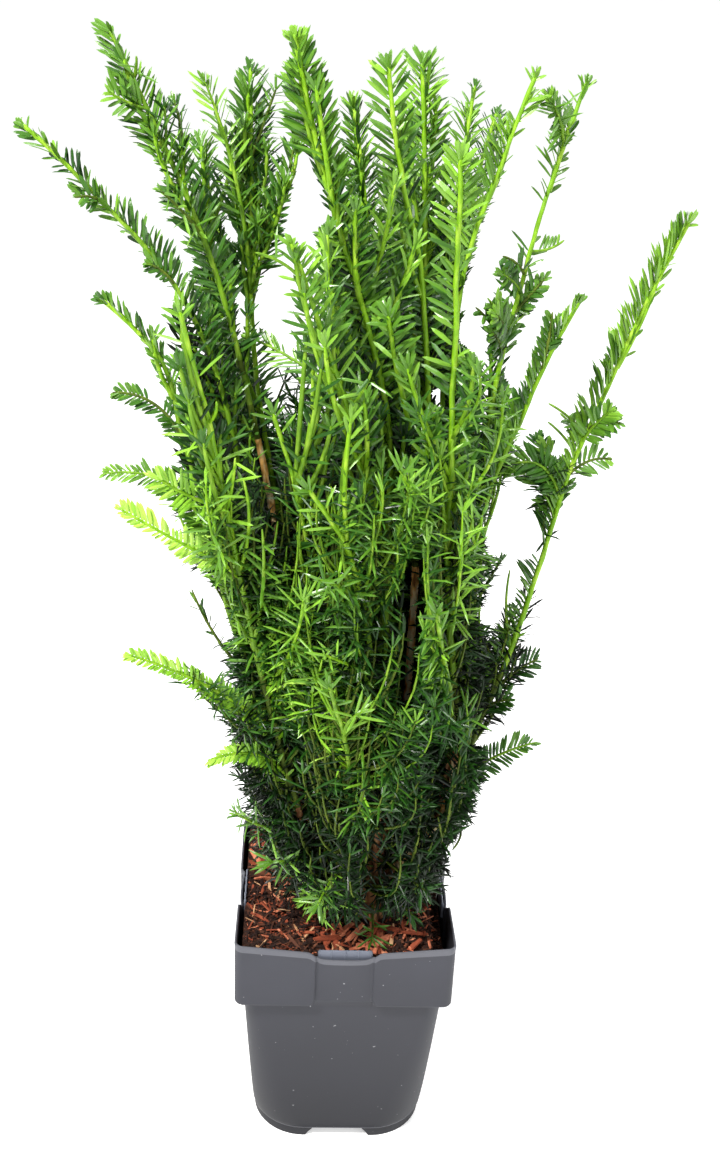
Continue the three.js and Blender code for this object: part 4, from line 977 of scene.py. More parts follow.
made = 0
for q, deep, high in seeds:
    d = q - host_p
    dz, dh = d[:, 2], np.hypot(d[:, 0], d[:, 1])
    ln = np.sqrt(dz * dz + dh * dh)
    if high:
        cost = ln + 3.0 * np.abs(ln - 130) * 0.3 + np.where((dz > 50) & (dh < dz * 0.5), 0, 1e4)
    else:
        steep = np.interp(q[2], [250, 330, 480], [1.1, 1.5, 2.5])
        cost = 0.4 * np.abs(ln - 90) + 0.7 * np.abs(dz - (steep * dh + 8)) + 0.2 * ln + np.where((ln > 20) & (ln < 190) & (dz > -6), 0, 1e4)
    k = int(np.argmin(cost + rng.uniform(0, 14, len(cost))))
    if cost[k] > 9e3:
        continue
    p, t = host_p[k], host_t[k]
    length = ln[k]
    out = unit(np.array([d[k, 0], d[k, 1], 0.0]) + 1e-6)
    if high:
        bow = out * length * 0.05 + rng.normal(0, 0.02, 3) * length
    else:
        bow = np.array([0, 0, -1.0]) * length * rng.uniform(0.02, 0.08) + out * dh[k] * rng.uniform(0.14, 0.3) + rng.normal(0, 0.025, 3) * length
    P = shoot_path(p + out * host_r[k] * 0.5, q, bow, 9 if high else (5 if deep else 7))
    if in_sky(seen(P[3:])[0]).any() or (hides(P[1:], 1.0) > 0).mean() > 0.16:
        continue
    view_dir = unit(V_C - q)
    # painted shade: a spray's tone darkens with the crown between it and the camera and between it and the key lamp;
    # sprays at the back take their cover towards the back instead
    cov = min(cover_of(q, tuple(view_dir)), 1e3)
    cov_l = cover_of(q, LIGHT_DIR)
    cov_b = min(cover_of(q, tuple(unit(w))) for w in BEHIND) if q[1] > 40 else 1e3
    level = max(lightness(q, 0.65 * cov + 0.35 * cov_l), lightness(q, cov_b) - 0.3) + rng.normal(0, 0.35)
    (sx, sy), _ = seen(q)
    for (bx, by), br, bt in BRIGHT:
        if cov < 40 and (sx - bx) ** 2 + (sy - by) ** 2 < br * br:
            level = max(level, bt + rng.normal(0, .4))
    outer = cov < 45
    if high:
        add_twig(P, 2.1, 1.7, max(level, 3.2) + 1, 6)
        Lk = Limb(P, 2.1, 1.7)
        dress_leader(Lk, 0.12, level - 0.8, level + 0.4, alpha_top=46, alpha_low=60, long_=rng.normal(23.5, 1), wide=3.3, flat=0.8,
                     hero=2.0 if cov < 20 else 1.5)
    else:
        add_twig(P, 1.3 if length > 50 else 1.0, 0.9, level + (np.interp(q[2], [380, 520, 640], [-.8, .2, .7]) if outer else -.6), 4 if outer else 3)
        up = 1.0 if (outer and rng.random() < 0.45) else 0.0
        if outer and rng.random() < (0.2 if q[2] < 480 else 0.11):
            up = 2.0
        dress_shoot(P, level, rng.normal(24.0, 1.8) * (0.95 if q[2] < 400 else 1.0), rng.normal(2.3, .15), 2.3 if outer else 3.1,
                    1.0 if cov < 85 else 0.0, up, start=length * 0.11, bend=-.40)
    made += 1
print("shoots", made)

# the larger side shoots
for host, at, tip, bow, level in SHOOTS:
    root = FOOT + (FORK - FOOT) * at if host == "stem" else limbs[host].at(at)
    P = shoot_path(root, tip, bow, 14)
    length = float(np.linalg.norm(P[-1] - P[0]))
    add_twig(P, 1.2 + length * 0.006, 1.0, level + .5, 7)
    lvl = [1.2, 2.1, 3.1, 3.9, 4.5, 6.0][level]
    start = length * (0.22 if length > 90 else 0.08)
    if tip[2] > 900 and length > 70 and tuple(tip) not in COMBS:
        dress_leader(Limb(P, 1.6, 1.4), 0.2, lvl - 0.4, lvl + 0.6, long_=23, wide=3.3, flat=0.6)
    elif tuple(tip) in COMBS:
        l0, w0, g0 = COMBS[tuple(tip)]
        dress_comb(P, lvl, l0, w0, g0, unit(np.array([0.1, -0.8, 0.55])))
    else:
        if level == 5 and tip[0] > -100:                  # thin arching needles of the youngest shoots
            dress_shoot(P, lvl - 1.2, 27.0, 2.1, 3.2, 1.5, 0.6, start=start, bend=-.5)
        else:
            dress_shoot(P, lvl, 24.0 if level >= 2 else 22.0, 2.7 if level >= 2 else 2.5, 2.4, 1.0, 0.6, start=start, bend=-.32 if level >= 4 else -.24)

twig_ob = twigs.build("yew_twigs", STEM_MATS)

rows = np.concatenate(needles.rows)
# keep the sky open, and thin what hangs in front of the bare brown stems
fit = np.zeros(len(rows))
for f in (.5, .62, .74, .86, 1.0):
    reach = rows[:, 0:3] + rows[:, 3:6] * rows[:, 9:10] * f
    free = ~in_sky(seen(reach - rows[:, 3:6] * 2.0)[0])
    for h in (.3, .6):
        free &= ~in_sky(seen(rows[:, 0:3] + rows[:, 3:6] * rows[:, 9:10] * f * h)[0])
    fit = np.where(free, f, fit)
at_end = np.isin(rows[:, 13], (3.0, 2.5))                # needles at the very ends of leaders always stay
cut = (fit == 0) & ~at_end
fit = np.where(fit == 0, 0.6, fit)
rows[:, 9] *= fit
rows[:, 10] *= np.interp(fit, [.5, 1.0], [.82, 1.0])
tips = rows[:, 0:3] + rows[:, 3:6] * rows[:, 9:10]
over = np.zeros(len(rows))
for f in (.2, .4, .6, .8, 1.0):
    over = np.maximum(over, hides(rows[:, 0:3] + rows[:, 3:6] * rows[:, 9:10] * f))
to_key = unit(np.array([-1.12, -1.22, 2.15]))
for name, f0, f1, wide_, share_ in (("centre", .27, .43, 12.0, .85), ("a", .47, .56, 7.0, .75), ("stem", .1, .9, 8.0, .8), ("l5", .03, .12, 8.0, .8)):
    L = limbs[name]
    m_ = rows[:, 0:3] + rows[:, 3:6] * rows[:, 9:10] * 0.5
    for p_ in L.along(np.linspace(L.len * f0, L.len * f1, 16))[0]:
        v_ = m_ - p_
        t_ = v_ @ to_key
        over = np.maximum(over, np.where((t_ > 4) & (np.linalg.norm(v_ - t_[:, None] * to_key, axis=1) < wide_ + 0.1 * t_), share_, 0))
cut |= (rng.random(len(rows)) < over) & ~at_end
# nothing grows below the rim's level
low = tips[:, 2] < 246
cut |= low
rows = rows[~cut]
print("needles", len(rows), "cut", int(cut.sum()), "kinds", [int((rows[:, 13] == k).sum()) for k in (0, 1, 2, 3)])


# ------------------------------------------------------- needle meshes, joined
REGIONS = [
    ("needles_low", lambda b: b[:, 2] < 400), ("needles_middle_left", lambda b: (b[:, 2] < 566) & (b[:, 0] < 20)),
    ("needles_middle_right", lambda b: b[:, 2] < 566), ("needles_upper_left", lambda b: (b[:, 2] < 742) & (b[:, 0] < -20)),
    ("needles_upper_right", lambda b: b[:, 2] < 742), ("needles_tops_left", lambda b: b[:, 0] < -40),
    ("needles_tops_right", lambda b: b[:, 0] > -1e9),
]


def blade(R, stations, ridge):
    """every needle is a narrow blade folded along its midrib, pointed at both ends"""
    B, D, N = R[:, 0:3], R[:, 3:6], R[:, 6:9]
    Ln, Wd, Bd = R[:, 9:10], R[:, 10:11], R[:, 11:12]
    N = unit(N - np.sum(N * D, 1, keepdims=True) * D)
    Sd = np.cross(D, N)
    if ridge == 0.0:                                      # deep in the crown: a flat curved blade
        out = [B]
        for f, w in stations:
            c = B + D * Ln * f + N * (Bd * Ln * f * f)
            out += [c - Sd * Wd * w / 2, c + Sd * Wd * w / 2]
        out.append(B + D * Ln + N * Bd * Ln)
        return np.stack(out, 1), np.array([[0, 2, 1], [1, 2, 4], [1, 4, 3], [3, 4, 5]])

    def at(f):
        return B + D * Ln * f + N * (Bd * Ln * f * f)
    out = [at(0.0)]
    for f, w in stations:
        c = at(f)
        out += [c - Sd * Wd * w / 2, c + N * Wd * ridge, c + Sd * Wd * w / 2]
    out.append(at(1.0))
    m = len(stations)
    tri = [[0, 2, 1], [0, 3, 2]]
    for k in range(m - 1):
        a = 1 + 3 * k
        tri += [[a, a + 1, a + 4], [a, a + 4, a + 3], [a + 1, a + 2, a + 5], [a + 1, a + 5, a + 4]]
    a = 1 + 3 * (m - 1)
    tri += [[a, a + 1, a + 3], [a + 1, a + 2, a + 3]]
    return np.stack(out, 1), np.array(tri)


def needle_mesh(name, R):
    V, F, M, base = [], [], [], 0
    for part_, stations, ridge in ((R[R[:, 13] > 1.75], ((.10, .72), (.50, 1.0), (.84, .78)), .15),
                                   (R[(R[:, 13] > .5) & (R[:, 13] <= 1.75)], ((.13, .84), (.74, .92)), .2),
                                   (R[R[:, 13] <= .5], ((.2, .9), (.72, .9)), 0.0)):
        if not len(part_):
            continue
        v, tri = blade(part_, stations, ridge)
        per = v.shape[1]
        V.append(v.reshape(-1, 3))
        F.append((tri[None] + (np.arange(len(part_)) * per)[:, None, None]).reshape(-1, 3) + base)
        M.append(np.repeat(part_[:, 12].astype(int), len(tri)))
        base += len(part_) * per
    F = np.concatenate(F)
    print(name, len(R), "needles", len(F), "triangles")
    return new_mesh(name, np.concatenate(V), F, NEEDLE_MATS, np.concatenate(M))


left = np.ones(len(rows), bool)
needle_obs = {}
for name, test in REGIONS:
    pick = left & test(rows)
    left &= ~pick
    needle_obs[name] = needle_mesh(name, rows[pick])

# ------------------------------------------------------------------------- pot
POT_H, RIM_HALF, RIM_R, BAND_RECESS, RECESS_HALF = 255.0, 105.0, 9.0, 3.0, 27.0
BAND_Z, CORNER_DROP, BODY_TOP_HALF, BODY_TOP_R = 188.0, 3.5, 97.0, 13.0
BODY_BOT_HALF, BODY_BOT_R, WALL, BASE_Z = 87.5, 53.0, 2.0, 7.0

HALF_MARKS = [0, 4, 8, 12, 16, 20, 24, 26.4, 27.0, 27.9, 28.6, 30, 33, 36, 39, 44, 52, 62, 72, 80]
CORNER_N = 9


def pot_ring(half, r, zfun, recess=0.0, blend=1.0, shift=0.0, bow=0.0):
    """one turn round the pot: rounded square whose middle panel lies behind by recess"""
    us = [-m for m in HALF_MARKS[::-1][:-1]] + HALF_MARKS
    out = []
    a = half - r
    for side in range(4):
        c, s = math.cos(side * math.pi / 2), math.sin(side * math.pi / 2)

        def put(u, o, mark):
            out.append((u * c + o * s, u * s - o * c, zfun(mark)))
        put(-a, half, 99)
        for m in us:
            u = m
            am = abs(m)
            # the panel edge moves outwards near its foot, where its corner is rounded
            u = math.copysign(am + shift * np.interp(am, [10, 26.4, 28.6, 44], [0, 1, 1, 0]), m) if m else 0.0
            u = max(-a * 0.98, min(a * 0.98, u))
            behind = recess * (1 - np.interp(am, [26.4, 28.6], [0, 1]))
            o = half - behind + bow * max(0.0, 1 - (am / 27) ** 2)
            put(u, o, m)
        put(a, half, 99)
        for k in range(1, CORNER_N):
            w = k / CORNER_N * math.pi / 2
            put(a + r * math.sin(w), a + r * math.cos(w), 99)
    return np.array(out)


def body_half(z):
    return BODY_BOT_HALF + (BODY_TOP_HALF - BODY_BOT_HALF) * (z - BASE_Z) / (BAND_Z - BASE_Z)


def body_r(z):
    t = max(0.0, (z - BASE_Z) / (BAND_Z - BASE_Z))
    return BODY_BOT_R + (BODY_TOP_R - BODY_BOT_R) * t ** 0.62


def rim_h(mark):
    m = abs(mark)
    if m == 99:
        return POT_H
    if m >= 36:
        return POT_H - 6 * (1 - (m - 36) / 60)
    t = np.clip((m - 21) / 15, 0, 1)
    return POT_H - 16 + 10 * t * t * (3 - 2 * t)


def band_foot(mark):
    m = abs(mark)
    return BAND_Z - CORNER_DROP * (1 if m == 99 else float(np.interp(m, [27, 28.2], [0, 1])))


def stitch(rings, close_first=True, close_last=True):
    n = len(rings[0])
    V = np.concatenate(rings)
    idx = np.arange(len(rings) * n).reshape(len(rings), n)
    F = np.stack([idx[:-1], np.roll(idx[:-1], -1, 1), np.roll(idx[1:], -1, 1), idx[1:]], -1).reshape(-1, 4)
    tris = []
    if close_first:
        c = len(V)
        V = np.concatenate([V, rings[0].mean(0)[None]])
        tris.append(np.stack([np.roll(idx[0], -1), idx[0], np.full(n, c)], -1))
    if close_last:
        c = len(V)
        V = np.concatenate([V, rings[-1].mean(0)[None]])
        tris.append(np.stack([idx[-1], np.roll(idx[-1], -1), np.full(n, c)], -1))
    return V, ([F] + [np.concatenate(tris)] if tris else [F])


def pot_shell():
    R = []
    flat = lambda z: (lambda m: z)
    # under the floor, round the base edge, a fine ridge, then the tapered body
    R.append(pot_ring(BODY_BOT_HALF - 6, BODY_BOT_R - 6, flat(BASE_Z)))
    R.append(pot_ring(BODY_BOT_HALF - 1.6, BODY_BOT_R - 1.6, flat(BASE_Z)))
    R.append(pot_ring(BODY_BOT_HALF - 0.2, BODY_BOT_R, flat(BASE_Z + 0.5)))
    R.append(pot_ring(BODY_BOT_HALF + 0.5, BODY_BOT_R, flat(BASE_Z + 1.2)))
    R.append(pot_ring(BODY_BOT_HALF + 0.5, BODY_BOT_R, flat(BASE_Z + 2.1)))
    R.append(pot_ring(body_half(BASE_Z + 3), body_r(BASE_Z + 3), flat(BASE_Z + 3.0)))
    for z in (14, 20, 28, 38, 50, 65, 82, 100, 120, 140, 160, 176):
        R.append(pot_ring(body_half(z), body_r(z), flat(z)))
    R.append(pot_ring(body_half(182), body_r(182), lambda m: band_foot(m) - 2.2))
    # out to the rim band, with a small rounded lower edge
    R.append(pot_ring(RIM_HALF - 1.6, RIM_R, lambda m: band_foot(m) - 1.0, BAND_RECESS, shift=4.6))
    R.append(pot_ring(RIM_HALF - 0.4, RIM_R, lambda m: band_foot(m) - 0.1, BAND_RECESS, shift=3.6))
    for dz, sh in ((0.9, 2.5), (2.0, 1.5), (3.4, 0.8), (5.2, 0.3), (7.0, 0.0)):
        R.append(pot_ring(RIM_HALF, RIM_R, lambda m, dz=dz: band_foot(m) + dz, BAND_RECESS, shift=sh, bow=0.3 * dz / 7))
    for f in (0.15, 0.35, 0.55, 0.75, 0.92):
        R.append(pot_ring(RIM_HALF, RIM_R, lambda m, f=f: band_foot(m) + 7 + (rim_h(m) - 2.2 - band_foot(m) - 7) * f, BAND_RECESS, bow=0.3 + 1.6 * f))
    # rolled lip
    for g, dz in ((0.0, -1.6), (-0.1, -0.8), (-0.5, -0.2), (-1.1, 0.0), (-1.8, -0.2), (-2.2, -0.9), (-2.2, -2.0)):
        R.append(pot_ring(RIM_HALF + g + 0.35, RIM_R + g, lambda m, dz=dz: rim_h(m) + dz, BAND_RECESS, bow=1.8))
    lip = len(R)
    # inside wall down to the floor
    for f in (0.9, 0.6, 0.3):
        R.append(pot_ring(RIM_HALF - WALL, RIM_R - WALL, lambda m, f=f: band_foot(m) + 4 + (rim_h(m) - 4 - band_foot(m)) * f, BAND_RECESS, bow=1.6 * f))
    R.append(pot_ring(RIM_HALF - WALL, RIM_R - WALL, lambda m: band_foot(m) + 3.5, BAND_RECESS))
    R.append(pot_ring(body_half(181) - WALL, body_r(181) - WALL, flat(182)))
    for z in (120, 60, 25, BASE_Z + 2.5):
        R.append(pot_ring(body_half(z) - WALL, body_r(z) - WALL, flat(z)))
    V, F = stitch(R)
    nq = len(F[0])
    per = len(R[0])
    mi = np.zeros(nq + len(F[1]), int)
    mi[(lip - 8) * per:(lip - 1) * per] = 1            # painted highlight: the lip is paler, as where its rounded edge catches the light
    mi[3 * per:4 * per] = 1                            # painted highlight: so is the fine ridge at the foot
    return V, F, mi


def plastic(name, base, pale, rough, foot=1.0):
    m, nt, b = principled(name, base, rough, 0.28)
    mp, no = noise_colour(nt, b, 9.0, [(0.3, tuple(c * 0.90 for c in base)), (0.7, tuple(c * 1.10 for c in base))], 5.0)
    # pale specks and scuffs of a pot that has stood in a nursery
    sp = node(nt, "ShaderNodeTexNoise")
    sp.inputs["Scale"].default_value = 230.0
    sp.inputs["Detail"].default_value = 1.0
    tc = node(nt, "ShaderNodeTexCoord")
    nt.links.new(tc.outputs["Object"], sp.inputs["Vector"])
    rp = ramp(nt, [(0.765, (0, 0, 0)), (0.80, (1, 1, 1))])
    nt.links.new(sp.outputs["Fac"], rp.inputs["Fac"])
    mx = node(nt, "ShaderNodeMix", data_type="RGBA")
    mx.inputs["B"].default_value = (*pale, 1)
    src = b.inputs["Base Color"].links[0].from_socket
    nt.links.new(src, mx.inputs["A"])
    nt.links.new(rp.outputs["Color"], mx.inputs["Factor"])
    if foot < 1.0:                                        # painted shade: darker towards the foot, slightly lighter near the rim
        sx = node(nt, "ShaderNodeSeparateXYZ")
        nt.links.new(tc.outputs["Object"], sx.inputs["Vector"])
        fr_ = node(nt, "ShaderNodeMapRange")
        for key, val in (("From Min", 0.0), ("From Max", 0.24), ("To Min", foot), ("To Max", 1.08)):
            fr_.inputs[key].default_value = val
        nt.links.new(sx.outputs["Z"], fr_.inputs["Value"])
        ml = node(nt, "ShaderNodeVectorMath", operation="SCALE")
        nt.links.new(mx.outputs["Result"], ml.inputs[0])
        nt.links.new(fr_.outputs["Result"], ml.inputs["Scale"])
        nt.links.new(ml.outputs["Vector"], b.inputs["Base Color"])
    else:
        nt.links.new(mx.outputs["Result"], b.inputs["Base Color"])
    fine = node(nt, "ShaderNodeTexNoise")
    fine.inputs["Scale"].default_value = 900.0
    fine.inputs["Detail"].default_value = 2.0
    nt.links.new(tc.outputs["Object"], fine.inputs["Vector"])
    bump(nt, b, fine.outputs["Fac"], 0.16, 0.0004)
    rr = node(nt, "ShaderNodeMapRange")
    rr.inputs["To Min"].default_value = rough - 0.06
    rr.inputs["To Max"].default_value = rough + 0.12
    nt.links.new(no.outputs["Fac"], rr.inputs["Value"])
    nt.links.new(rr.outputs["Result"], b.inputs["Roughness"])
    return m


# painted shade darkens the pot and its lip towards the foot; the lip's paler grey is a painted highlight
POT_MAT = plastic("pot_plastic_grey", srgb(56, 57, 64), srgb(150, 150, 154), 0.55, 0.42)
LIP_HIGHLIGHT_MAT = plastic("pot_lip_painted_highlight", srgb(86, 87, 94), srgb(165, 165, 170), 0.42, 0.8)
POCKET_MAT = plastic("pocket_plastic_grey", srgb(104, 109, 122), srgb(165, 168, 176), 0.42)

V, F, mi = pot_shell()
pot = new_mesh("nursery_pot", V, F, [POT_MAT, LIP_HIGHLIGHT_MAT], mi, True)


def cylinder(name, x, y, r, z0, z1, n=40, bevel=0.0):
    rings = []
    steps = [(r - bevel, z0), (r, z0 + bevel), (r, z1)] if bevel else [(r, z0), (r, z1)]
    a = np.arange(n) * 2 * np.pi / n
    for rr, z in steps:
        rings.append(np.stack([x + rr * np.cos(a), y + rr * np.sin(a), np.full(n, float(z))], 1))
    V, F = stitch(rings)
    return new_mesh(name, V, F, [POT_MAT], None, False)


# drain holes cut through the floor
for k, (i, j) in enumerate([(1, 1), (1, -1), (-1, 1), (-1, -1)]):
    cut = cylinder(f"cut_{k}", 47 * i, 47 * j, 8, BASE_Z - 5, BASE_Z + 12, 28)
    mod = pot.modifiers.new("hole", "BOOLEAN")
    mod.operation = "DIFFERENCE"
    mod.solver = "EXACT"
    mod.object = cut
    bpy.context.view_layer.update()
    dg = bpy.context.evaluated_depsgraph_get()
    me = bpy.data.meshes.new_from_object(pot.evaluated_get(dg))
    pot.modifiers.clear()
    pot.data = me
    bpy.data.objects.remove(cut)


# corner skirts that the pot stands on, and the pad in the middle of its floor
def skirts():
    VV, FF, base = [], [], 0
    a = BODY_BOT_HALF - BODY_BOT_R
    for side in range(4):
        c, s = math.cos(side * math.pi / 2), math.sin(side * math.pi / 2)
        path = []
        for u in (a - 9, a - 5, a - 2, a):
            path.append((u, None, 0))
        for k in range(1, 14):
            path.append((None, k / 14 * math.pi / 2, 1))
        for u in (a, a - 2, a - 5, a - 9):
            path.append((u, None, 2))
        rings = []
        m = len(path)
        for idx, (u, w, part) in enumerate(path):
            def at(inset):
                Rr = BODY_BOT_R - inset
                if part == 1:
                    x, y = a + Rr * math.sin(w), -(a + Rr * math.cos(w))
                elif part == 0:
                    x, y = u, -(BODY_BOT_HALF - inset)
                else:
                    x, y = BODY_BOT_HALF - inset, -u
                return np.array([x * c - y * s, x * s + y * c])
            edge = min(idx, m - 1 - idx)
            zl = (BASE_Z - 2) + (-DATUM - (BASE_Z - 2)) * min(1.0, edge / 2.0)
            prof = [(0.9, BASE_Z + 1), (1.4, zl + 0.6), (1.9, zl), (3.4, zl), (3.9, zl + 0.6), (3.9, BASE_Z + 1)]
            rings.append(np.array([[*at(i_), z_] for i_, z_ in prof]))
        V, F = stitch(rings)
        VV.append(V)
        FF.append([f + base for f in F])
        base += len(V)
    return np.concatenate(VV), [np.concatenate([f[0] for f in FF]), np.concatenate([f[1] for f in FF])]


V, F = skirts()
skirt = new_mesh("pot_skirts", V, F, [POT_MAT], None, False)
pad = cylinder("pot_pad", 0, 0, 26, -DATUM, BASE_Z + 1, 48, 0.8)


# label pockets: low ribbed plates inside the rim
def pocket(side):
    out = RIM_HALF - BAND_RECESS - WALL - 0.4
    c, s = math.cos(side * math.pi / 2), math.sin(side * math.pi / 2)
    xs = np.linspace(-26, 26, 105)
    prof = []
    for x in xs:
        rib = 0.45 if min(abs(x - r) for r in (-24.5, -13, 0, 13, 24.5)) < 0.7 else 0.0
        top = 247.0 - 1.5 * max(0.0, (abs(x) - 24.6) / 1.4)
        o1 = out - 0.4 + rib
        i1 = out - 2.0 - rib
        prof.append([(o1, 229), (o1, top - 1.4), (o1 - (0.3 - rib * 0.3), top - 0.5), (o1 - 0.8, top), (i1 + 0.5, top), (i1, top - 0.6), (i1, 229)])
    rings = []
    for x, p in zip(xs, prof):
        rings.append(np.array([(x * c + o * s, x * s - o * c, z) for o, z in p]))
    return stitch(rings)


pockets = []
for k, nm in enumerate(("front", "right", "back", "left")):
    V, F = pocket(k)
    ob = new_mesh(f"label_plate_{nm}", V, F, [POCKET_MAT], None, False)
    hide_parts(f"label_pocket_{nm}")
    pockets.append(ob)

# ------------------------------------------------------------------- substrate
SOIL_Z, SOIL_EDGE, DITCH = 239.6, 236.0, 15.0
TOP = RIM_HALF - WALL - 2.4 - 1.6


def soil_height(x, y):
    """surface of the bark: nearly flat, higher at the left and behind, fallen away at the right-hand wall"""
    h = 237.5 + 2.6 * value_noise(x / 31, y / 31, 1) + 1.6 * value_noise(x / 12, y / 12, 2) + 0.9 * value_noise(x / 5, y / 5, 3)
    h = h + np.interp(x, [-98, -70, 0], [4.5, 2.0, 0]) + np.interp(y, [0, 98], [0, 2.5])
    d = np.hypot(x - FOOT[0], y - FOOT[1])
    h = np.where(d < 30, h + (SOIL_Z + 0.6 - h) * np.clip(1 - (d - 14) / 16, 0, 1), h)
    edge = TOP - DITCH + 2.5 * value_noise(y / 17, x * 0 + 0.5, 4)
    h = np.where(x > edge, h - (h - 214) * np.clip((x - edge) / 5.0, 0, 1), h)
    # the front is a little lower, behind the dipped lip
    h = h - np.interp(y, [-98, -80], [2.0, 0])
    return h


g = 150
ax = np.linspace(-TOP + 0.5, TOP - 0.5, g)
X, Y = np.meshgrid(ax, ax, indexing="ij")
Zs = soil_height(X, Y) + 1.1 * value_noise(X / 2.4, Y / 2.4, 6) + 0.5 * value_noise(X / 1.2, Y / 1.2, 7)
top = np.stack([X, Y, Zs], -1).reshape(-1, 3)
idx = np.arange(g * g).reshape(g, g)
Fq = np.stack([idx[:-1, :-1], idx[1:, :-1], idx[1:, 1:], idx[:-1, 1:]], -1).reshape(-1, 4)
# skirt down into the pot so that the mass is closed
rim = np.concatenate([idx[:, 0], idx[-1, 1:], idx[-2::-1, -1], idx[0, -2:0:-1]])
low = top[rim].copy()
low[:, 2] = 192.0
low[:, :2] *= 0.955
base = len(top)
lowc = np.array([[0, 0, 192.0]])
k = len(rim)
r2 = np.arange(k) + base
Fs = np.stack([rim, r2, np.roll(r2, -1), np.roll(rim, -1)], -1)
Fb = np.stack([r2, np.full(k, base + k), np.roll(r2, -1)], -1)
SOIL = principled("dark_bark_fines", srgb(52, 32, 24), 0.95, 0.25)[0]
nt = SOIL.node_tree
bs = nt.nodes["Principled BSDF"]
mp, no = noise_colour(nt, bs, 300.0, [(0.25, srgb(22, 13, 11)), (0.5, srgb(54, 32, 24)), (0.68, srgb(92, 56, 40)), (0.85, srgb(150, 92, 66))], 8.0)
bump(nt, bs, no.outputs["Fac"], 1.0, 0.002)
soil = new_mesh("bark_fines", np.concatenate([top, low, lowc]), [np.concatenate([Fq, Fs]), Fb], [SOIL], None, True)


def chip_mat(name, a, b_, c):
    m, nt, b = principled(name, b_, 0.82, 0.3)
    mp, no = noise_colour(nt, b, 120.0, [(0.3, a), (0.55, b_), (0.8, c)], 5.0, (1, 1, 1))
    bump(nt, b, no.outputs["Fac"], 0.6, 0.0008)
    return m


CHIPS = [
    chip_mat("chip_dark", srgb(26, 15, 12), srgb(44, 26, 20), srgb(70, 42, 32)),
    chip_mat("chip_brown", srgb(64, 36, 26), srgb(96, 56, 38), srgb(128, 78, 54)),
    chip_mat("chip_russet", srgb(112, 52, 34), srgb(150, 72, 46), srgb(180, 96, 64)),
    chip_mat("chip_salmon", srgb(176, 94, 66), srgb(212, 128, 94), srgb(236, 166, 130)),
    chip_mat("chip_pale", srgb(170, 120, 84), srgb(204, 158, 116), srgb(226, 190, 152)),
]


def chips(name, C, A, Nn, Ls, Wd, Th, tone):
    """joined splinters: bevelled slabs with one end narrower and a bend in the middle"""
    A = unit(A)
    Nn = unit(Nn - np.sum(Nn * A, 1, keepdims=True) * A)
    S = np.cross(Nn, A)
    n_ = len(C)
    rings = []
    for f, w, lift in ((-.5, rng.uniform(.5, 1.0, n_), rng.normal(0, .015, n_)), (-.12, rng.uniform(.9, 1.05, n_), rng.normal(.015, .015, n_)),
                       (.22, rng.uniform(.8, 1.0, n_), rng.normal(.01, .015, n_)), (.5, rng.uniform(.15, .7, n_), rng.normal(0, .015, n_))):
        c = C + A * (Ls * f)[:, None] + Nn * (lift * Ls)[:, None] + S * (rng.normal(0, .012, n_) * Ls)[:, None]
        hw, ht = (Wd * w / 2)[:, None], (Th / 2)[:, None]
        rings.append(np.stack([c - S * hw - Nn * ht * .6, c + S * hw - Nn * ht * .6, c + S * hw * .8 + Nn * ht, c - S * hw * .75 + Nn * ht * .8], 1))
    V = np.concatenate(rings, 1).reshape(-1, 3)
    q = []
    for r in range(3):
        for e in range(4):
            q.append([r * 4 + e, r * 4 + (e + 1) % 4, (r + 1) * 4 + (e + 1) % 4, (r + 1) * 4 + e])
    q += [[3, 2, 1, 0], [12, 13, 14, 15]]
    q = np.array(q)
    F = (q[None] + (np.arange(n_) * 16)[:, None, None]).reshape(-1, 4)
    return new_mesh(name, V, F, CHIPS, np.repeat(tone, len(q)), False)


def lay(n_, lmin, lmax, wratio, xr, yr, tones, steep=0.25, lift=0.5, power=1.6):
    x = rng.uniform(*xr, n_)
    y = rng.uniform(*yr, n_)
    Ls = lmin + (lmax - lmin) * rng.random(n_) ** power
    Wd = Ls * rng.uniform(*wratio, n_)
    Th = Wd * rng.uniform(.22, .5, n_)
    a = rng.uniform(0, 2 * np.pi, n_)
    tilt = rng.normal(0, steep, n_)
    A = np.stack([np.cos(a) * np.cos(tilt), np.sin(a) * np.cos(tilt), np.sin(tilt)], 1)
    Nn = unit(np.array([0, 0, 1.0]) + rng.normal(0, steep, (n_, 3)))
    z = soil_height(x, y) + lift * Th + np.abs(np.sin(tilt)) * Ls * 0.38
    m = min(TOP - 1.0, 200)
    half = Ls * 0.5
    x = np.clip(x, -m + half * abs(np.cos(a)), m - half * abs(np.cos(a)))
    y = np.clip(y, -m + half * abs(np.sin(a)), m - half * abs(np.sin(a)))
    z = np.maximum(z, soil_height(x, y) + lift * Th)
    # nothing lies on the stem's foot
    d = np.hypot(x - FOOT[0], y - FOOT[1])
    keep = d > 13 + half * 0.55
    tone = rng.choice(5, n_, p=tones)
    C = np.stack([x, y, z], 1)
    return [v[keep] for v in (C, A, Nn, Ls, Wd, Th)] + [tone[keep]]


parts = [
    lay(3700, 1.8, 7.5, (.22, .6), (-96, 96), (-96, 96), [.62, .24, .09, .03, .02], 0.6, 0.6),
    lay(1500, 6, 18, (.08, .22), (-96, 84), (-96, 96), [.50, .28, .13, .06, .03], 0.4, 0.8),
    lay(190, 12, 30, (.07, .18), (-94, 80), (-94, 94), [.32, .28, .22, .14, .04], 0.34, 1.0),
    # large reddish pieces in front of the stem, upright ones at the back left
    lay(64, 12, 32, (.12, .24), (-18, 66), (-94, -58), [.02, .08, .24, .56, .10], 0.3, 1.6),
    lay(30, 18, 44, (.10, .22), (-94, -62), (10, 92), [.06, .24, .36, .30, .04], 0.9, 1.2),
    lay(22, 14, 26, (.14, .26), (50, 82), (-50, 60), [.14, .30, .30, .22, .04], 0.4, 1.2),
]
mulch = chips("bark_mulch", *[np.concatenate([p[k] for p in parts]) for k in range(7)])

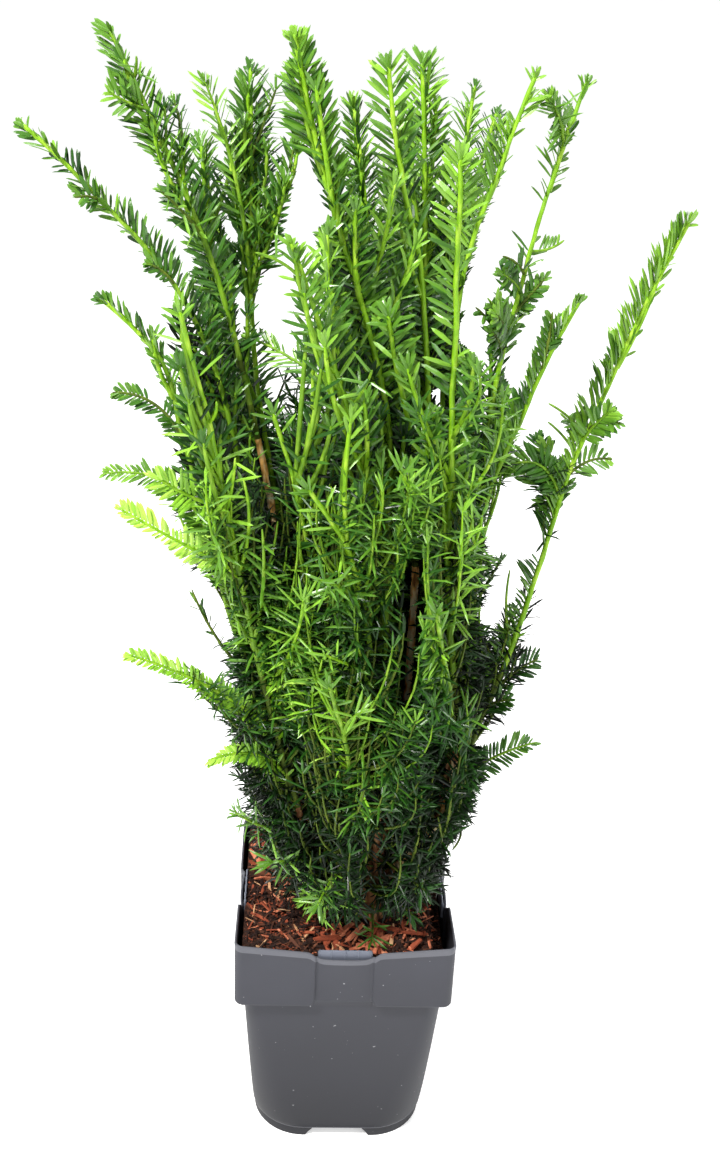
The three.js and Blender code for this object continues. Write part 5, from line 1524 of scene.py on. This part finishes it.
# ------------------------------------------------------------ frame bookkeeping
wood_nodes = ["main_stem", "centre_stem"] + [n for n in NODES if n.startswith("bough_")]
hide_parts(*wood_nodes)
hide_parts("pot")
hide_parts("soil")

left_x = lambda n: sum(v[0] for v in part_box(n)) / 2
OWNERS = {
    "needles_low": [n for n in MASSES if n.startswith("foliage_low")] + ["shoot_low_right"],
    "needles_middle_left": ["foliage_middle_front", "foliage_middle_left", "foliage_middle_back", "shoot_low_left"],
    "needles_middle_right": ["foliage_middle_right", "foliage_right_shoulder"],
    "needles_upper_left": ["foliage_upper_left", "foliage_upper_back_left", "shoot_left", "shoot_front_left", "shoot_upper_left"],
    "needles_upper_right": ["foliage_upper_front", "foliage_upper_right", "foliage_upper_back_right", "shoot_right"],
}
rest = [n for n in MASSES if not any(n in v for v in OWNERS.values())]
OWNERS["needles_tops_left"] = [n for n in rest if left_x(n) < -0.04]
OWNERS["needles_tops_right"] = [n for n in rest if left_x(n) >= -0.04]
for name, ob in needle_obs.items():
    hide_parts(*OWNERS[name])
for ob in [boughs, twig_ob, pot, skirt, pad, soil, mulch, *pockets, *needle_obs.values()]:
    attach(ob, "root")

# -------------------------------------------------------- floor, light, camera
floor_v = np.array([[-90, -60, 0], [90, -60, 0], [90, 120, 0], [-90, 120, 0]], float)
floor = new_mesh("floor", floor_v, np.array([[0, 1, 2, 3]]), [], None, False, 1.0, False)
fm, nt, b = principled("pale_floor", (0.95, 0.95, 0.95), 0.9, 0.1)
b.inputs["Emission Color"].default_value = (1, 1, 1, 1)
b.inputs["Emission Strength"].default_value = 0.48
floor.data.materials.append(fm)

world = bpy.data.worlds.new("studio")
bpy.context.scene.world = world
world.use_nodes = True
bg = world.node_tree.nodes["Background"]
bg.inputs["Color"].default_value = (1.0, 1.0, 1.0, 1)
bg.inputs["Strength"].default_value = 0.56


def area(name, loc, aim, size, power, colour=(1, 1, 1)):
    li = bpy.data.lights.new(name, "AREA")
    li.shape = "DISK"
    li.size = size
    li.energy = power
    li.color = colour
    ob = bpy.data.objects.new(name, li)
    bpy.context.scene.collection.objects.link(ob)
    ob.location = loc
    ob.rotation_mode = "QUATERNION"
    ob.rotation_quaternion = (Vector(aim) - Vector(loc)).to_track_quat("-Z", "Y")
    return ob


area("key", (-1.1, -1.2, 2.7), (0, 0, 0.7), 0.5, 104, (1.0, 0.985, 0.95))
area("top", (0.5, 0.4, 3.2), (0, 0, 0.7), 1.5, 46)
area("fill", (1.8, -1.6, 1.4), (0, 0, 0.5), 1.6, 14)

p_, az, roll = math.radians(25.02), math.radians(2.66), math.radians(2.56)
fw = np.array([math.sin(az) * math.cos(p_), math.cos(az) * math.cos(p_), -math.sin(p_)])
right = np.array([math.cos(az), -math.sin(az), 0.0])
up = np.cross(right, fw)
cr = math.cos(roll) * right + math.sin(roll) * up
cu = -math.sin(roll) * right + math.cos(roll) * up
cam = bpy.data.cameras.new("camera")
cam.sensor_width = 36.0
cam.lens = 1400.0 / 1150.0 * 36.0
cam.clip_start, cam.clip_end = 0.05, 50
co = bpy.data.objects.new("camera", cam)
bpy.context.scene.collection.objects.link(co)
M = Matrix(((cr[0], cu[0], -fw[0], -0.051), (cr[1], cu[1], -fw[1], -1.149), (cr[2], cu[2], -fw[2], 1.131 + DATUM * MM), (0, 0, 0, 1)))
co.matrix_world = M
bpy.context.scene.camera = co

sc = bpy.context.scene
sc.view_settings.view_transform = "Standard"
sc.view_settings.look = "None"
sc.view_settings.exposure = 0.0

for ob in (boughs, twig_ob, mulch, soil, pot):
    print(ob.name, sum(len(p.vertices) - 2 for p in ob.data.polygons), "triangles")
